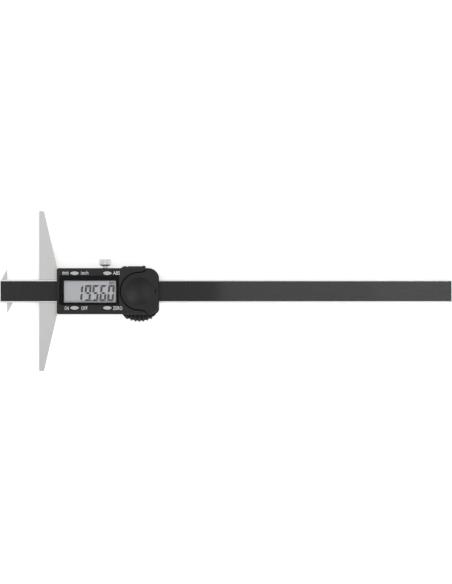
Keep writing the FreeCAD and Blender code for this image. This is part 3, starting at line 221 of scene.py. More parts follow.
# Gib
# The gib is a leaf of phosphor bronze in the frame's channel. Two set screws press it on the beam's
# upper edge, which takes up the slider's play.
BRONZE = (0.60, 0.38, 0.18)
gib_finish = ground_metal("bronze_leaf", BRONZE, ALONG_X, rough=(0.24, 0.36), contrast=0.10)
wears(gib_finish, "gib_strip")


# Lock screw
# The lock screw is turned brass, knurled straight and nickelled. Its head catches the light along the
# knurl's crests and is darker in the grooves.
LOCK_NICKEL = (0.86, 0.85, 0.835)
ALONG_SCREW = (1.0, 0.3, 1.0)
lock_finish = new_finish("nickelled_knurl", LOCK_NICKEL, Metallic=1.0)
lock_marks = grain(lock_finish, millimetres(lock_finish, ALONG_SCREW), per_mm=5.0, detail=3.0)
feed(lock_finish, "Base Color", mottled(lock_finish, lock_marks, LOCK_NICKEL, 0.9, 1.08))
feed(lock_finish, "Roughness", spread(lock_finish, lock_marks, 0.42, 0.52))
relief(lock_finish, lock_marks, TOOL_MARK_MM)
wears(lock_finish, "lock_screw")


# Beam
# The beam is a bar of hardened steel, finely ground along its length, so its two bare edges beside the
# scale are the brightest steel on the gauge.
BEAM_STEEL = (0.56, 0.56, 0.555)
beam_finish = ground_metal("fine_ground_beam", BEAM_STEEL, ALONG_X, rough=(0.26, 0.34), contrast=0.04)
wears(beam_finish, "beam")


# Scale
# The scale is a printed strip of glass fibre laminate with a copper pattern, glued into the beam's channel.
# A glossy black film covers it, with one thin darker line just inside each long edge.
LAMINATE_GREEN = (0.03, 0.10, 0.045)
COPPER = (0.55, 0.27, 0.13)
PAD_PITCH_MM = 2.54
# the wave texture's scale that gives one wave to a millimetre
ONE_WAVE = math.pi / 10


def bands(material, per_mm):
    """Waves along X, so many to the millimetre."""
    made = new_node(
        material,
        "ShaderNodeTexWave",
        {"Vector": millimetres(material), "Scale": per_mm * ONE_WAVE, "Distortion": 0.0},
        wave_type="BANDS",
        bands_direction="X",
    )
    return made.outputs["Fac"]


scale_finish = new_finish("copper_scale_strip", LAMINATE_GREEN, Roughness=0.5)
scale_pads = tones(
    scale_finish,
    bands(scale_finish, 1 / PAD_PITCH_MM),
    [(0.0, LAMINATE_GREEN), (0.55, COPPER)],
    hard=True,
)
feed(scale_finish, "Base Color", scale_pads)
relief(scale_finish, grain(scale_finish, millimetres(scale_finish), per_mm=4.0), 0.003)
wears(scale_finish, "scale_board")

FILM_BLACK = (0.002, 0.002, 0.0021)
FILM_LINE = (0.0008, 0.0008, 0.0008)
FILM_LINE_WIDTH = 0.35 * MM
FILM_LINE_INSET = 0.35 * MM
film_finish = new_finish(
    "glossy_scale_film",
    FILM_BLACK,
    Specular_IOR_Level=0.23,
    Coat_Weight=0.31,
    Coat_Roughness=0.05,
    Coat_IOR=1.5,
)
FILM_STREAK = (0.3, 1.0, 1.0)
FILM_RIPPLE_MM = 0.0008
film_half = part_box("scale_film")[1].y


def axis_of(material, vector, axis):
    made = new_node(material, "ShaderNodeSeparateXYZ", {"Vector": vector})
    return made.outputs[axis]


# 0 on the film's middle line and 1 on its edges
film_offset = combined(film_finish, axis_of(film_finish, millimetres(film_finish), "Y"), 0.0, "ABSOLUTE")
film_share = combined(film_finish, film_offset, film_half / MM, "DIVIDE")
line_inner = (film_half - FILM_LINE_INSET - FILM_LINE_WIDTH) / film_half
line_outer = (film_half - FILM_LINE_INSET) / film_half
film_stops = [(0.0, FILM_BLACK), (line_inner, FILM_LINE), (line_outer, FILM_BLACK)]
feed(film_finish, "Base Color", tones(film_finish, film_share, film_stops, hard=True))
film_cloud = grain(film_finish, millimetres(film_finish, FILM_STREAK), per_mm=0.5, detail=3.0)
feed(film_finish, "Roughness", spread(film_finish, film_cloud, 0.25, 0.31))
relief(film_finish, grain(film_finish, millimetres(film_finish), per_mm=1.5), FILM_RIPPLE_MM)
wears(film_finish, "scale_film")


# Hook and tail stop
# The double hook and the tail stop are small hardened plates, ground on both faces across the beam. They
# are screwed behind its two ends, and the stop keeps the slider on.
HOOK_STEEL = (0.49, 0.49, 0.48)
hook_finish = ground_metal("ground_hook_plate", HOOK_STEEL, ALONG_Y, rough=(0.36, 0.44), contrast=0.05)
wears(hook_finish, "hook_plate", "tail_stop")


# Housing shells, lid and port cover
# The housing is black plastic with a fine sparked grain from the mould. Its rounded edges are smooth, its
# inside is left coarse with painted shade on its floors, and on the thumb rest the ridges' crests get a
# painted highlight between flutes in painted shade.
SHELL_BLACK = (0.010, 0.010, 0.0108)
LID_BLACK = (0.008, 0.008, 0.0084)
# painted shade for the upward floors below the level under it, in the seams and recesses
INSIDE_PAINTED_SHADE = (0.0005, 0.0005, 0.0005)
INSIDE_BELOW_MM = 11.0
LEVEL_BLEND_MM = 0.05
SMOOTH_ROUGHNESS = 0.2
COARSE_ROUGHNESS = 1.0
# how far a surface faces up: 0 on a wall, 1 on a flat, and the rounded edges between these
WALL_TILT = 0.1
EDGE_LOW_TILT = 0.3
EDGE_HIGH_TILT = 0.955
FLOOR_TILT = 0.9
FLAT_TILT = 0.985


def mixed(material, share, low, high):
    """low where the share is 0 and high where it is 1; both are numbers or outputs."""
    made = new_node(material, "ShaderNodeMix", {"Factor": share, "A": low, "B": high}, data_type="FLOAT")
    return made.outputs["Result"]


def mixed_colours(material, share, low, high):
    """The same for colours, four numbers or an output, which the node takes in sockets of their own."""
    first, second, result = 6, 7, 2
    inputs = {"Factor": share, first: low, second: high}
    made = new_node(material, "ShaderNodeMix", inputs, data_type="RGBA")
    return made.outputs[result]


def facing_up(material):
    coords = new_node(material, "ShaderNodeTexCoord", {})
    return axis_of(material, coords.outputs["Normal"], "Z")


def moulded_plastic(name, colour, rough, grain_per_mm, grain_height_mm, specular, inside=True):
    """Sparked plastic with smooth rounded edges; inside, its floors are left coarse and get painted shade.
    """
    material = new_finish(name, colour, Specular_IOR_Level=specular)
    space = millimetres(material)
    fine = grain(material, space, grain_per_mm, detail=3.0, roughness=0.6)
    cloud = grain(material, space, per_mm=0.08)
    base = mottled(material, combined(material, fine, cloud, "MULTIPLY"), colour, 0.82, 1.2)
    upward = facing_up(material)
    past_wall = spread(material, upward, 0.0, 1.0, WALL_TILT, EDGE_LOW_TILT)
    before_flat = spread(material, upward, 1.0, 0.0, EDGE_HIGH_TILT, FLAT_TILT)
    rounded = combined(material, past_wall, before_flat, "MULTIPLY")
    roughness = mixed(material, rounded, spread(material, cloud, *rough), SMOOTH_ROUGHNESS)
    if inside:
        level = axis_of(material, space, "Z")
        deep = spread(material, level, 1.0, 0.0, INSIDE_BELOW_MM - LEVEL_BLEND_MM, INSIDE_BELOW_MM)
        flat = spread(material, upward, 0.0, 1.0, FLOOR_TILT, FLAT_TILT)
        coarse_shaded_floors = combined(material, deep, flat, "MULTIPLY")
        # the floors inside are painted near black: painted shade in the seams and recesses
        base = mixed_colours(material, coarse_shaded_floors, base, (*INSIDE_PAINTED_SHADE, 1))
        roughness = mixed(material, coarse_shaded_floors, roughness, COARSE_ROUGHNESS)
    feed(material, "Base Color", base)
    feed(material, "Roughness", roughness)
    relief(material, fine, grain_height_mm, strength=0.8)
    return material


shell_finish = moulded_plastic(
    "sparked_shell_plastic",
    SHELL_BLACK,
    rough=(0.36, 0.44),
    grain_per_mm=4.0,
    grain_height_mm=0.010,
    specular=0.28,
)
wears(shell_finish, "front_housing")
lid_finish = moulded_plastic(
    "sparked_lid_plastic",
    LID_BLACK,
    rough=(0.26, 0.32),
    grain_per_mm=5.0,
    grain_height_mm=0.004,
    specular=0.255,
)
wears(lid_finish, "battery_lid")
cover_finish = moulded_plastic(
    "port_cover_plastic",
    SHELL_BLACK,
    rough=(0.36, 0.44),
    grain_per_mm=5.0,
    grain_height_mm=0.008,
    specular=0.36,
    inside=False,
)
wears(cover_finish, "port_cover")

THUMB_MIDDLE_MM = 70.1
THUMB_PITCH_MM = 2.88
THUMB_EDGE_MM = -16.2
THUMB_BLEND_MM = 0.1
# painted light on the thumb rest: the flutes get painted shade and the crests a painted highlight
FLUTE_PAINTED_SHADE = (0.005, 0.005, 0.005)
CREST_PAINTED_HIGHLIGHT = (0.03, 0.03, 0.03)
PLAIN_ROUGHNESS = 0.42
REST_GRAIN_MM = 0.010
rest_finish = new_finish("thumb_rest_plastic", SHELL_BLACK, Specular_IOR_Level=0.24)
rest_space = millimetres(rest_finish)
rest_offset = combined(rest_finish, axis_of(rest_finish, rest_space, "X"), THUMB_MIDDLE_MM, "SUBTRACT")
rest_steps = combined(rest_finish, rest_offset, THUMB_PITCH_MM, "DIVIDE")
# 0 on a crest, rising to 1 in the middle of a flute
rest_hollow = combined(rest_finish, combined(rest_finish, rest_steps, 0.5, "PINGPONG"), 2.0, "MULTIPLY")
# painted highlight on the crests and painted shade in the flutes
rest_painted_light = tones(rest_finish, rest_hollow, [(0.08, CREST_PAINTED_HIGHLIGHT), (0.18, FLUTE_PAINTED_SHADE)])
rest_reach = axis_of(rest_finish, rest_space, "Y")
on_rest = spread(rest_finish, rest_reach, 1.0, 0.0, THUMB_EDGE_MM - THUMB_BLEND_MM, THUMB_EDGE_MM)
feed(rest_finish, "Base Color", mixed_colours(rest_finish, on_rest, (*SHELL_BLACK, 1), rest_painted_light))
rest_roughness = spread(rest_finish, rest_hollow, 0.35, 0.7, start=0.1, end=0.4)
feed(rest_finish, "Roughness", mixed(rest_finish, on_rest, PLAIN_ROUGHNESS, rest_roughness))
rest_fine = grain(rest_finish, rest_space, per_mm=4.0, detail=3.0, roughness=0.6)
relief(rest_finish, rest_fine, REST_GRAIN_MM, strength=0.8)
wears(rest_finish, "rear_housing")


# Lettering
# The words beside the keys are pad printed in pale grey ink on the front shell, and name what each key
# does. The ink is a fiftieth of a millimetre thick and is keyed a little into the plastic.
INK = (0.80, 0.80, 0.82)
INK_THICKNESS = 0.02 * MM
INK_SINK = 0.005 * MM
INK_BOLDNESS = 0.004
INK_SPACING = 1.12
CAPITAL_HEIGHT = 2.5 * MM
INCH_HEIGHT = 2.6 * MM
SMALL_HEIGHT = 2.0 * MM
UPPER_ROW = 12.75 * MM
LOWER_ROW = -11.85 * MM
SMALL_FOOT = UPPER_ROW - 1.15 * MM
UPPER_FOOT = UPPER_ROW - CAPITAL_HEIGHT / 2
LOWER_FOOT = LOWER_ROW - CAPITAL_HEIGHT / 2
LETTERING = [
    # word, left end, right end, lowest edge, height
    ("mm", 16.55 * MM, 20.6 * MM, SMALL_FOOT, SMALL_HEIGHT),
    ("inch", 29.4 * MM, 34.5 * MM, SMALL_FOOT, INCH_HEIGHT),
    ("ABS", 52.0 * MM, 56.6 * MM, UPPER_FOOT, CAPITAL_HEIGHT),
    ("ON", 18.0 * MM, 20.8 * MM, LOWER_FOOT, CAPITAL_HEIGHT),
    ("OFF", 29.6 * MM, 34.0 * MM, LOWER_FOOT, CAPITAL_HEIGHT),
    ("ZERO", 51.8 * MM, 58.3 * MM, LOWER_FOOT, CAPITAL_HEIGHT),
]
WINDOW_SET_BACK = 0.1 * MM
housing_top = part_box("display_window")[1].z + WINDOW_SET_BACK

ink_finish = new_finish("pale_printing_ink", INK, Roughness=0.55)
ink_patches = grain(ink_finish, millimetres(ink_finish), per_mm=5.0)
feed(ink_finish, "Base Color", mottled(ink_finish, ink_patches, INK, 0.85, 1.1))


def clear_selection():
    bpy.ops.object.select_all(action="DESELECT")


def pick(*pieces):
    """Select these pieces alone; the last one is active."""
    clear_selection()
    for piece in pieces:
        piece.select_set(True)
    bpy.context.view_layer.objects.active = pieces[-1]


def settle(piece, name, body, material):
    """Name a finished piece, put its place into its mesh and let it ride."""
    pick(piece)
    bpy.ops.object.transform_apply(location=True, rotation=True, scale=True)
    piece.name = name
    piece.data.name = name
    piece.data.materials.clear()
    piece.data.materials.append(material)
    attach(piece, body)
    return piece


def thicken_flat(thickness):
    """In edit mode, give a flat face its thickness upwards, with every face pointing out."""
    bpy.ops.mesh.select_all(action="SELECT")
    bpy.ops.mesh.extrude_region_move(TRANSFORM_OT_translate={"value": (0, 0, thickness)})
    bpy.ops.mesh.select_all(action="SELECT")
    bpy.ops.mesh.normals_make_consistent(inside=False)
    bpy.ops.object.mode_set(mode="OBJECT")


CURVE_STEPS = 6
SAME_POINT = 0.0005


def flat_word(word, thickness, boldness, spacing=1.0):
    """A word as a thin mesh in letters of size 1, starting at the origin."""
    clear_selection()
    bpy.ops.object.text_add()
    piece = bpy.context.object
    piece.data.body = word
    piece.data.size = 1.0
    piece.data.offset = boldness
    piece.data.space_character = spacing
    piece.data.resolution_u = CURVE_STEPS
    bpy.ops.object.convert(target="MESH")
    piece = bpy.context.object
    bpy.ops.object.mode_set(mode="EDIT")
    bpy.ops.mesh.select_all(action="SELECT")
    bpy.ops.mesh.remove_doubles(threshold=SAME_POINT)
    thicken_flat(thickness)
    return piece


def fit_between(piece, left, right, low, high):
    """Move and stretch a flat piece so that it fills a rectangle."""
    xs = [v.co.x for v in piece.data.vertices]
    ys = [v.co.y for v in piece.data.vertices]
    grow_x = (right - left) / (max(xs) - min(xs))
    grow_y = (high - low) / (max(ys) - min(ys))
    piece.scale = (grow_x, grow_y, 1)
    piece.location.x = left - min(xs) * grow_x
    piece.location.y = low - min(ys) * grow_y


for word, left, right, low, height in LETTERING:
    print_piece = flat_word(word, INK_THICKNESS, INK_BOLDNESS, INK_SPACING)
    fit_between(print_piece, left, right, low, low + height)
    print_piece.location.z = housing_top - INK_SINK
    settle(print_piece, f"print_{word.lower()}", "slider", ink_finish)


# Display window
# The window is clear acrylic, polished, let into the shell. Its back is printed black round the view,
# which is what makes the deep black border.
WINDOW_TINT = (0.01, 0.01, 0.011)
window_finish = new_finish(
    "clear_window",
    WINDOW_TINT,
    Roughness=0.06,
    Alpha=0.1,
    Specular_IOR_Level=0.3,
    IOR=1.49,
)
window_smears = grain(window_finish, millimetres(window_finish), per_mm=0.4, detail=3.0)
feed(window_finish, "Roughness", spread(window_finish, window_smears, 0.04, 0.10))
window_finish.surface_render_method = "BLENDED"
wears(window_finish, "display_window")

VIEW_LEFT = 17.5 * MM
VIEW_RIGHT = 53.9 * MM
VIEW_LOW = -7.9 * MM
VIEW_HIGH = 7.3 * MM
PRINT_MARGIN = 0.15 * MM
PRINT_RISE = 0.01 * MM
PRINT_THICKNESS = 0.03 * MM
BORDER_BLACK = (0.004, 0.004, 0.0045)
window_low, window_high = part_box("display_window")


def sheet(left, right, low, high, level):
    """A flat rectangle between these limits, which the caller shapes."""
    clear_selection()
    bpy.ops.mesh.primitive_plane_add(size=1, location=((left + right) / 2, (low + high) / 2, level))
    piece = bpy.context.object
    piece.scale = (right - left, high - low, 1)
    bpy.ops.object.transform_apply(location=True, rotation=True, scale=True)
    return piece


def select_faces(piece, wanted):
    """In edit mode, select the faces whose middle and normal the test picks."""
    bpy.ops.object.mode_set(mode="OBJECT")
    for part in (piece.data.vertices, piece.data.edges, piece.data.polygons):
        part.foreach_set("select", [False] * len(part))
    for face in piece.data.polygons:
        face.select = wanted(face.center, face.normal)
    bpy.ops.object.mode_set(mode="EDIT")
    bpy.ops.mesh.select_mode(type="FACE")


def divided_plate(outer, inner, unwanted, back, front):
    """A flat plate parted in nine by the inner rectangle's lines, without the fields that the test picks.

    outer and inner are left, right, low and high; the test gets a field's middle.
    """
    piece = sheet(*outer, back)
    left, right, low, high = inner
    bpy.ops.object.mode_set(mode="EDIT")
    for place, across in (
        ((left, 0, 0), (1, 0, 0)),
        ((right, 0, 0), (1, 0, 0)),
        ((0, low, 0), (0, 1, 0)),
        ((0, high, 0), (0, 1, 0)),
    ):
        bpy.ops.mesh.select_all(action="SELECT")
        bpy.ops.mesh.bisect(plane_co=place, plane_no=across)
    select_faces(piece, lambda middle, _: unwanted(middle))
    bpy.ops.mesh.delete(type="FACE")
    thicken_flat(front - back)
    return piece


border_finish = new_finish("window_back_print", BORDER_BLACK, Roughness=0.3, Specular_IOR_Level=0.08)
border_specks = grain(border_finish, millimetres(border_finish), per_mm=3.0)
feed(border_finish, "Roughness", spread(border_finish, border_specks, 0.25, 0.38))
border = divided_plate(
    (
        window_low.x + PRINT_MARGIN,
        window_high.x - PRINT_MARGIN,
        window_low.y + PRINT_MARGIN,
        window_high.y - PRINT_MARGIN,
    ),
    (VIEW_LEFT, VIEW_RIGHT, VIEW_LOW, VIEW_HIGH),
    lambda middle: VIEW_LEFT < middle.x < VIEW_RIGHT and VIEW_LOW < middle.y < VIEW_HIGH,
    window_low.z + PRINT_RISE,
    window_low.z + PRINT_RISE + PRINT_THICKNESS,
)
settle(border, "window_border", "slider", border_finish)


# Display holder
# The holder is a frame of plain black plastic. It clamps the display glass and its connectors on the
# circuit board, behind the window.
HOLDER_BLACK = (0.010, 0.010, 0.010)
holder_finish = moulded_plastic(
    "holder_plastic",
    HOLDER_BLACK,
    rough=(0.45, 0.6),
    grain_per_mm=5.0,
    grain_height_mm=0.010,
    specular=0.25,
)
wears(holder_finish, "display_holder")


# Liquid crystal display
# The display glass looks an even pale grey from the foil behind it. Five slanted digits of seven strokes
# read 19.560, with the unit above the last one. The strokes are a thin dark layer on the glass.
LCD_GREY = (0.64, 0.645, 0.67)
LCD_STREAK = (1.0, 0.1, 1.0)
lcd_finish = new_finish("display_grey", LCD_GREY, Roughness=0.35, Specular_IOR_Level=0.3)
lcd_weave = grain(lcd_finish, millimetres(lcd_finish, LCD_STREAK), per_mm=2.5)
feed(lcd_finish, "Base Color", mottled(lcd_finish, lcd_weave, LCD_GREY, 0.965, 1.03))
wears(lcd_finish, "lcd_panel")

DIGIT_FIRST = 25.98 * MM
DIGIT_PITCH = 5.4 * MM
DIGIT_WIDTH = 4.55 * MM
DIGIT_LOW = -7.05 * MM
DIGIT_HIGH = 4.35 * MM
STROKE_WIDTH = 1.5 * MM
STROKE_GAP = 0.14 * MM
MIDDLE_GAP = 0.5 * MM
STROKE_THICKNESS = 0.02 * MM
SLANT = 0.085
STROKE_GREY = (0.115, 0.115, 0.125)
# the strokes that each digit lights
LIT_STROKES = {
    "1": "upper_right lower_right",
    "9": "top upper_left upper_right middle lower_right bottom",
    "5": "top upper_left middle lower_right bottom",
    "6": "top upper_left middle lower_left lower_right bottom",
    "0": "top upper_left upper_right lower_left lower_right bottom",
}
READING = "19560"
POINT_AFTER = 1
POINT_SIZE = 0.95 * MM
# the first digit, a 1, stands a little further left in its place than the others
FIRST_SHIFT = -0.38 * MM
lcd_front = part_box("lcd_panel")[1].z


def stroke(left, right, low, high, cuts=()):
    """One thin bar of the display. Each cut is a point on a line and the way that is cut off."""
    piece = sheet(left, right, low, high, lcd_front)
    bpy.ops.object.mode_set(mode="EDIT")
    for place, way in cuts:
        bpy.ops.mesh.select_all(action="SELECT")
        bpy.ops.mesh.bisect(plane_co=(*place, lcd_front), plane_no=(*way, 0), clear_outer=True)
    thicken_flat(STROKE_THICKNESS)
    return piece


def row_stroke(left, right, row, inwards):
    """The top or bottom stroke, mitred towards the uprights beside it."""
    left, right = left + STROKE_GAP, right - STROKE_GAP
    cuts = [((left, row), (-1, inwards)), ((right, row), (1, inwards))]
    low, high = sorted((row, row + inwards * STROKE_WIDTH))
    return stroke(left, right, low, high, cuts)


def middle_stroke(left, right, middle):
    """The middle stroke, pointed at both ends."""
    half = STROKE_WIDTH / 2
    left, right = left + half + STROKE_GAP, right - half - STROKE_GAP
    cuts = [((end, middle), (way, up)) for end, way in ((left, -1), (right, 1)) for up in (-1, 1)]
    return stroke(left, right, middle - half, middle + half, cuts)


def upright_stroke(side, row, middle, across, inwards):
    """An upright stroke: mitred at its row's end, half of it cut for the middle stroke's point."""
    far, near = row + inwards * STROKE_GAP, middle - inwards * MIDDLE_GAP
    half_way = side + across * STROKE_WIDTH / 2
    cuts = [((side, far), (across, -inwards)), ((half_way, near), (across, inwards))]
    left, right = sorted((side, side + across * STROKE_WIDTH))
    return stroke(left, right, *sorted((far, near)), cuts)


def digit_strokes(digit, left):
    """The lit strokes of one digit whose box starts at left."""
    right = left + DIGIT_WIDTH
    middle = (DIGIT_LOW + DIGIT_HIGH) / 2
    # each row or side with the way from it to the digit's middle
    upper, lower = (DIGIT_HIGH, -1), (DIGIT_LOW, 1)
    rows = {"top": upper, "bottom": lower, "upper": upper, "lower": lower}
    sides = {"left": (left, 1), "right": (right, -1)}
    made = []
    for name in LIT_STROKES[digit].split():
        if name == "middle":
            made.append(middle_stroke(left, right, middle))
        elif name in rows:
            made.append(row_stroke(left, right, *rows[name]))
        else:
            half, side = name.split("_")
            row, inwards = rows[half]
            place, across = sides[side]
            made.append(upright_stroke(place, row, middle, across, inwards))
    return made


strokes = []
for i, digit in enumerate(READING):
    shift = FIRST_SHIFT if i == 0 else 0
    strokes += digit_strokes(digit, DIGIT_FIRST + i * DIGIT_PITCH + shift)
point_x = DIGIT_FIRST + (POINT_AFTER + 1) * DIGIT_PITCH - (DIGIT_PITCH - DIGIT_WIDTH) / 2
point_half = POINT_SIZE / 2
strokes.append(stroke(point_x - point_half, point_x + point_half, DIGIT_LOW, DIGIT_LOW + POINT_SIZE))
pick(*strokes)
bpy.ops.object.join()
digits = bpy.context.object
bpy.ops.object.transform_apply(location=True, rotation=True, scale=True)
for vertex in digits.data.vertices:
    vertex.co.x += (vertex.co.y - DIGIT_LOW) * SLANT

stroke_finish = new_finish("lit_strokes", STROKE_GREY, Roughness=0.4, Specular_IOR_Level=0.2)
stroke_shade = grain(stroke_finish, millimetres(stroke_finish), per_mm=1.5)
feed(stroke_finish, "Base Color", mottled(stroke_finish, stroke_shade, STROKE_GREY, 0.85, 1.2))
settle(digits, "lcd_digits", "slider", stroke_finish)

UNIT_LEFT = 49.1 * MM
UNIT_RIGHT = 52.5 * MM
UNIT_LOW = 4.75 * MM
UNIT_HIGH = 6.35 * MM
UNIT_BOLDNESS = 0.025
unit_sign = flat_word("mm", STROKE_THICKNESS, UNIT_BOLDNESS)
fit_between(unit_sign, UNIT_LEFT, UNIT_RIGHT, UNIT_LOW, UNIT_HIGH)
unit_sign.location.z = lcd_front
settle(unit_sign, "lcd_unit", "slider", stroke_finish)


# Foil and connectors
# A brushed foil behind the display glass throws the light back. Two strips of rubber, layered with carbon,
# are pressed between the glass and the circuit board and join the one to the other.
FOIL = (0.70, 0.70, 0.71)
foil_finish = ground_metal("brushed_foil", FOIL, ALONG_X, rough=(0.3, 0.4), contrast=0.05)
wears(foil_finish, "lcd_reflector")

RUBBER_PALE = (0.42, 0.36, 0.30)
CARBON = (0.02, 0.02, 0.02)
LAYERS_PER_MM = 4.0
zebra_finish = new_finish("layered_connector_rubber", RUBBER_PALE, Roughness=0.7)
zebra_layers = tones(
    zebra_finish,
    bands(zebra_finish, LAYERS_PER_MM),
    [(0.0, RUBBER_PALE), (0.5, CARBON)],
    hard=True,
)
feed(zebra_finish, "Base Color", zebra_layers)
wears(zebra_finish, "zebra_strips")


# Circuit board
# The board is glass fibre laminate under green mask, with copper tracks showing through it. It carries a
# blob of black resin over the chip and six small ceramic parts.
MASK_GREEN = (0.012, 0.13, 0.05)
TRACK_GREEN = (0.03, 0.24, 0.09)
TRACK_WIDTH_MM = 0.12
TRACK_LENGTH_MM = 4.2
TRACK_PITCH_MM = 1.3
COPPER_RISE_MM = 0.02
board_finish = new_finish("green_solder_mask", MASK_GREEN, Specular_IOR_Level=0.5)
board_tracks = new_node(
    board_finish,
    "ShaderNodeTexBrick",
    {
        "Vector": millimetres(board_finish),
        "Scale": 1.0,
        "Color1": (*MASK_GREEN, 1),
        "Color2": (*shade(MASK_GREEN, 0.85), 1),
        "Mortar": (*TRACK_GREEN, 1),
        "Mortar Size": TRACK_WIDTH_MM,
        "Brick Width": TRACK_LENGTH_MM,
        "Row Height": TRACK_PITCH_MM,
    },
)
on_track = board_tracks.outputs["Fac"]
feed(board_finish, "Base Color", board_tracks.outputs["Color"])
feed(board_finish, "Roughness", spread(board_finish, on_track, 0.35, 0.25, start=0.0, end=1.0))
relief(board_finish, on_track, COPPER_RISE_MM)
wears(board_finish, "main_board")

RESIN = (0.008, 0.008, 0.009)
RESIN_WAVE_MM = 0.05
resin_finish = new_finish("chip_resin", RESIN)
resin_waves = grain(resin_finish, millimetres(resin_finish), per_mm=0.7)
feed(resin_finish, "Roughness", spread(resin_finish, resin_waves, 0.15, 0.35))
relief(resin_finish, resin_waves, RESIN_WAVE_MM)
wears(resin_finish, "board_chip")

CERAMIC = (0.30, 0.20, 0.12)
ceramic_finish = new_finish("brown_ceramic", CERAMIC, Roughness=0.45)
ceramic_specks = grain(ceramic_finish, millimetres(ceramic_finish), per_mm=8.0)
feed(
    ceramic_finish,
    "Base Color",
    mottled(ceramic_finish, ceramic_specks, CERAMIC, 0.8, 1.2, start=0.35, end=0.65),
)
wears(ceramic_finish, "board_parts")


# Keys
# The four keys are pale grey plastic, their caps oval with a shallow trough; below the cap they are painted
# near black, as painted shade in the gap round each key. Each stands half a millimetre out of its hole and
# presses a rubber dome on the board.
KEY_GREY = (0.45, 0.455, 0.455)
KEY_SKIRT_PAINTED_SHADE = (0.012, 0.012, 0.012)
KEY_GRAIN_MM = 0.008
CAP_ABOVE_MM = 11.3
key_finish = new_finish("pale_key_plastic", KEY_GREY, Specular_IOR_Level=0.35)
key_fine = grain(key_finish, millimetres(key_finish), per_mm=6.0, detail=3.0)
key_tones = mottled(key_finish, key_fine, KEY_GREY, 0.9, 1.08)
key_level = axis_of(key_finish, millimetres(key_finish), "Z")
on_cap = spread(key_finish, key_level, 0.0, 1.0, CAP_ABOVE_MM - LEVEL_BLEND_MM, CAP_ABOVE_MM)
# below the cap the keys are painted near black: painted shade in the gap round each key
feed(key_finish, "Base Color", mixed_colours(key_finish, on_cap, (*KEY_SKIRT_PAINTED_SHADE, 1), key_tones))
cap_roughness = spread(key_finish, key_fine, 0.42, 0.55)
feed(key_finish, "Roughness", mixed(key_finish, on_cap, COARSE_ROUGHNESS, cap_roughness))
relief(key_finish, key_fine, KEY_GRAIN_MM)
wears(key_finish, "unit_button", "abs_button", "power_button", "zero_button")

DOME_GREY = (0.22, 0.22, 0.23)
dome_finish = new_finish("silicone_rubber", DOME_GREY)
dome_dust = grain(dome_finish, millimetres(dome_finish), per_mm=2.0, detail=3.0)
feed(dome_finish, "Base Color", mottled(dome_finish, dome_dust, DOME_GREY, 0.85, 1.15))
feed(dome_finish, "Roughness", spread(dome_finish, dome_dust, 0.6, 0.75))
wears(dome_finish, "button_mats")


# Coin cell and contacts
# The cell is a nickelled steel can, spun smooth, with a plus sign raised on its top. Its contacts and the
# port's are gold flashed spring strip.
CAN_STEEL = (0.66, 0.655, 0.64)
SPIN_MARK_MM = 0.002
cell_low, cell_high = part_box("coin_cell")
cell_middle = [c / MM for c in (cell_low + cell_high) / 2]
cell_finish = new_finish("nickelled_can", CAN_STEEL, Metallic=1.0)
cell_space = millimetres(cell_finish, centre=cell_middle)
cell_wave = new_node(
    cell_finish,
    "ShaderNodeTexWave",
    {"Vector": cell_space, "Scale": 2.0, "Distortion": 1.5, "Detail": 3.0},
    wave_type="RINGS",
    rings_direction="Z",
)
cell_rings = cell_wave.outputs["Fac"]
feed(cell_finish, "Base Color", mottled(cell_finish, cell_rings, CAN_STEEL, 0.93, 1.05, start=0.0, end=1.0))
feed(cell_finish, "Roughness", spread(cell_finish, cell_rings, 0.18, 0.3, start=0.0, end=1.0))
relief(cell_finish, cell_rings, SPIN_MARK_MM)
wears(cell_finish, "coin_cell")

PLUS_ARM = 2.4 * MM
PLUS_HALF_WIDTH = 0.3 * MM
PLUS_RISE = 0.03 * MM
PLUS_SINK = 0.02 * MM
PLUS_EDGE = 0.02 * MM
PLUS_EDGE_STEPS = 2
SIGN_GREY = (0.20, 0.20, 0.20)
plus_x, plus_y, _ = (cell_low + cell_high) / 2


def round_the_plus(reach):
    """The limits of a square round the plus sign's middle."""
    return plus_x - reach, plus_x + reach, plus_y - reach, plus_y + reach


plus_sign = divided_plate(
    round_the_plus(PLUS_ARM),
    round_the_plus(PLUS_HALF_WIDTH),
    lambda middle: min(abs(middle.x - plus_x), abs(middle.y - plus_y)) > PLUS_HALF_WIDTH,
    cell_high.z - PLUS_SINK,
    cell_high.z + PLUS_RISE,
)
plus_bevel = plus_sign.modifiers.new("worn_edges", "BEVEL")
plus_bevel.width = PLUS_EDGE
plus_bevel.segments = PLUS_EDGE_STEPS
pick(plus_sign)
bpy.ops.object.modifier_apply(modifier=plus_bevel.name)
sign_finish = ground_metal("pressed_sign", SIGN_GREY, ALONG_X, rough=(0.35, 0.5), contrast=0.1)
settle(plus_sign, "cell_plus_sign", "slider", sign_finish)

GOLD = (0.80, 0.60, 0.25)
gold_finish = plated("gold_flashed_spring", GOLD, rough=(0.2, 0.32))
wears(gold_finish, "plus_contact", "minus_contact", "port_contacts")


# Floor
# The gauge lies on a plain matt white table. A little glow, for the rays that look at it alone, brings it
# up to white without lighting the gauge, and it keeps the gauge's shadow.
FLOOR_SIZE = 6.0
FLOOR_WHITE = (0.86, 0.86, 0.86)
FLOOR_LIFT = 0.48
WHITE = (1, 1, 1, 1)
floor_level = cad_box[0].z
clear_selection()
bpy.ops.mesh.primitive_plane_add(size=FLOOR_SIZE, location=(0, 0, floor_level))
floor = bpy.context.object
floor.name = "table_top"
floor_finish = new_finish(
    "white_table",
    FLOOR_WHITE,
    Roughness=0.9,
    Specular_IOR_Level=0.0,
    Emission_Color=WHITE,
)
floor.data.materials.append(floor_finish)


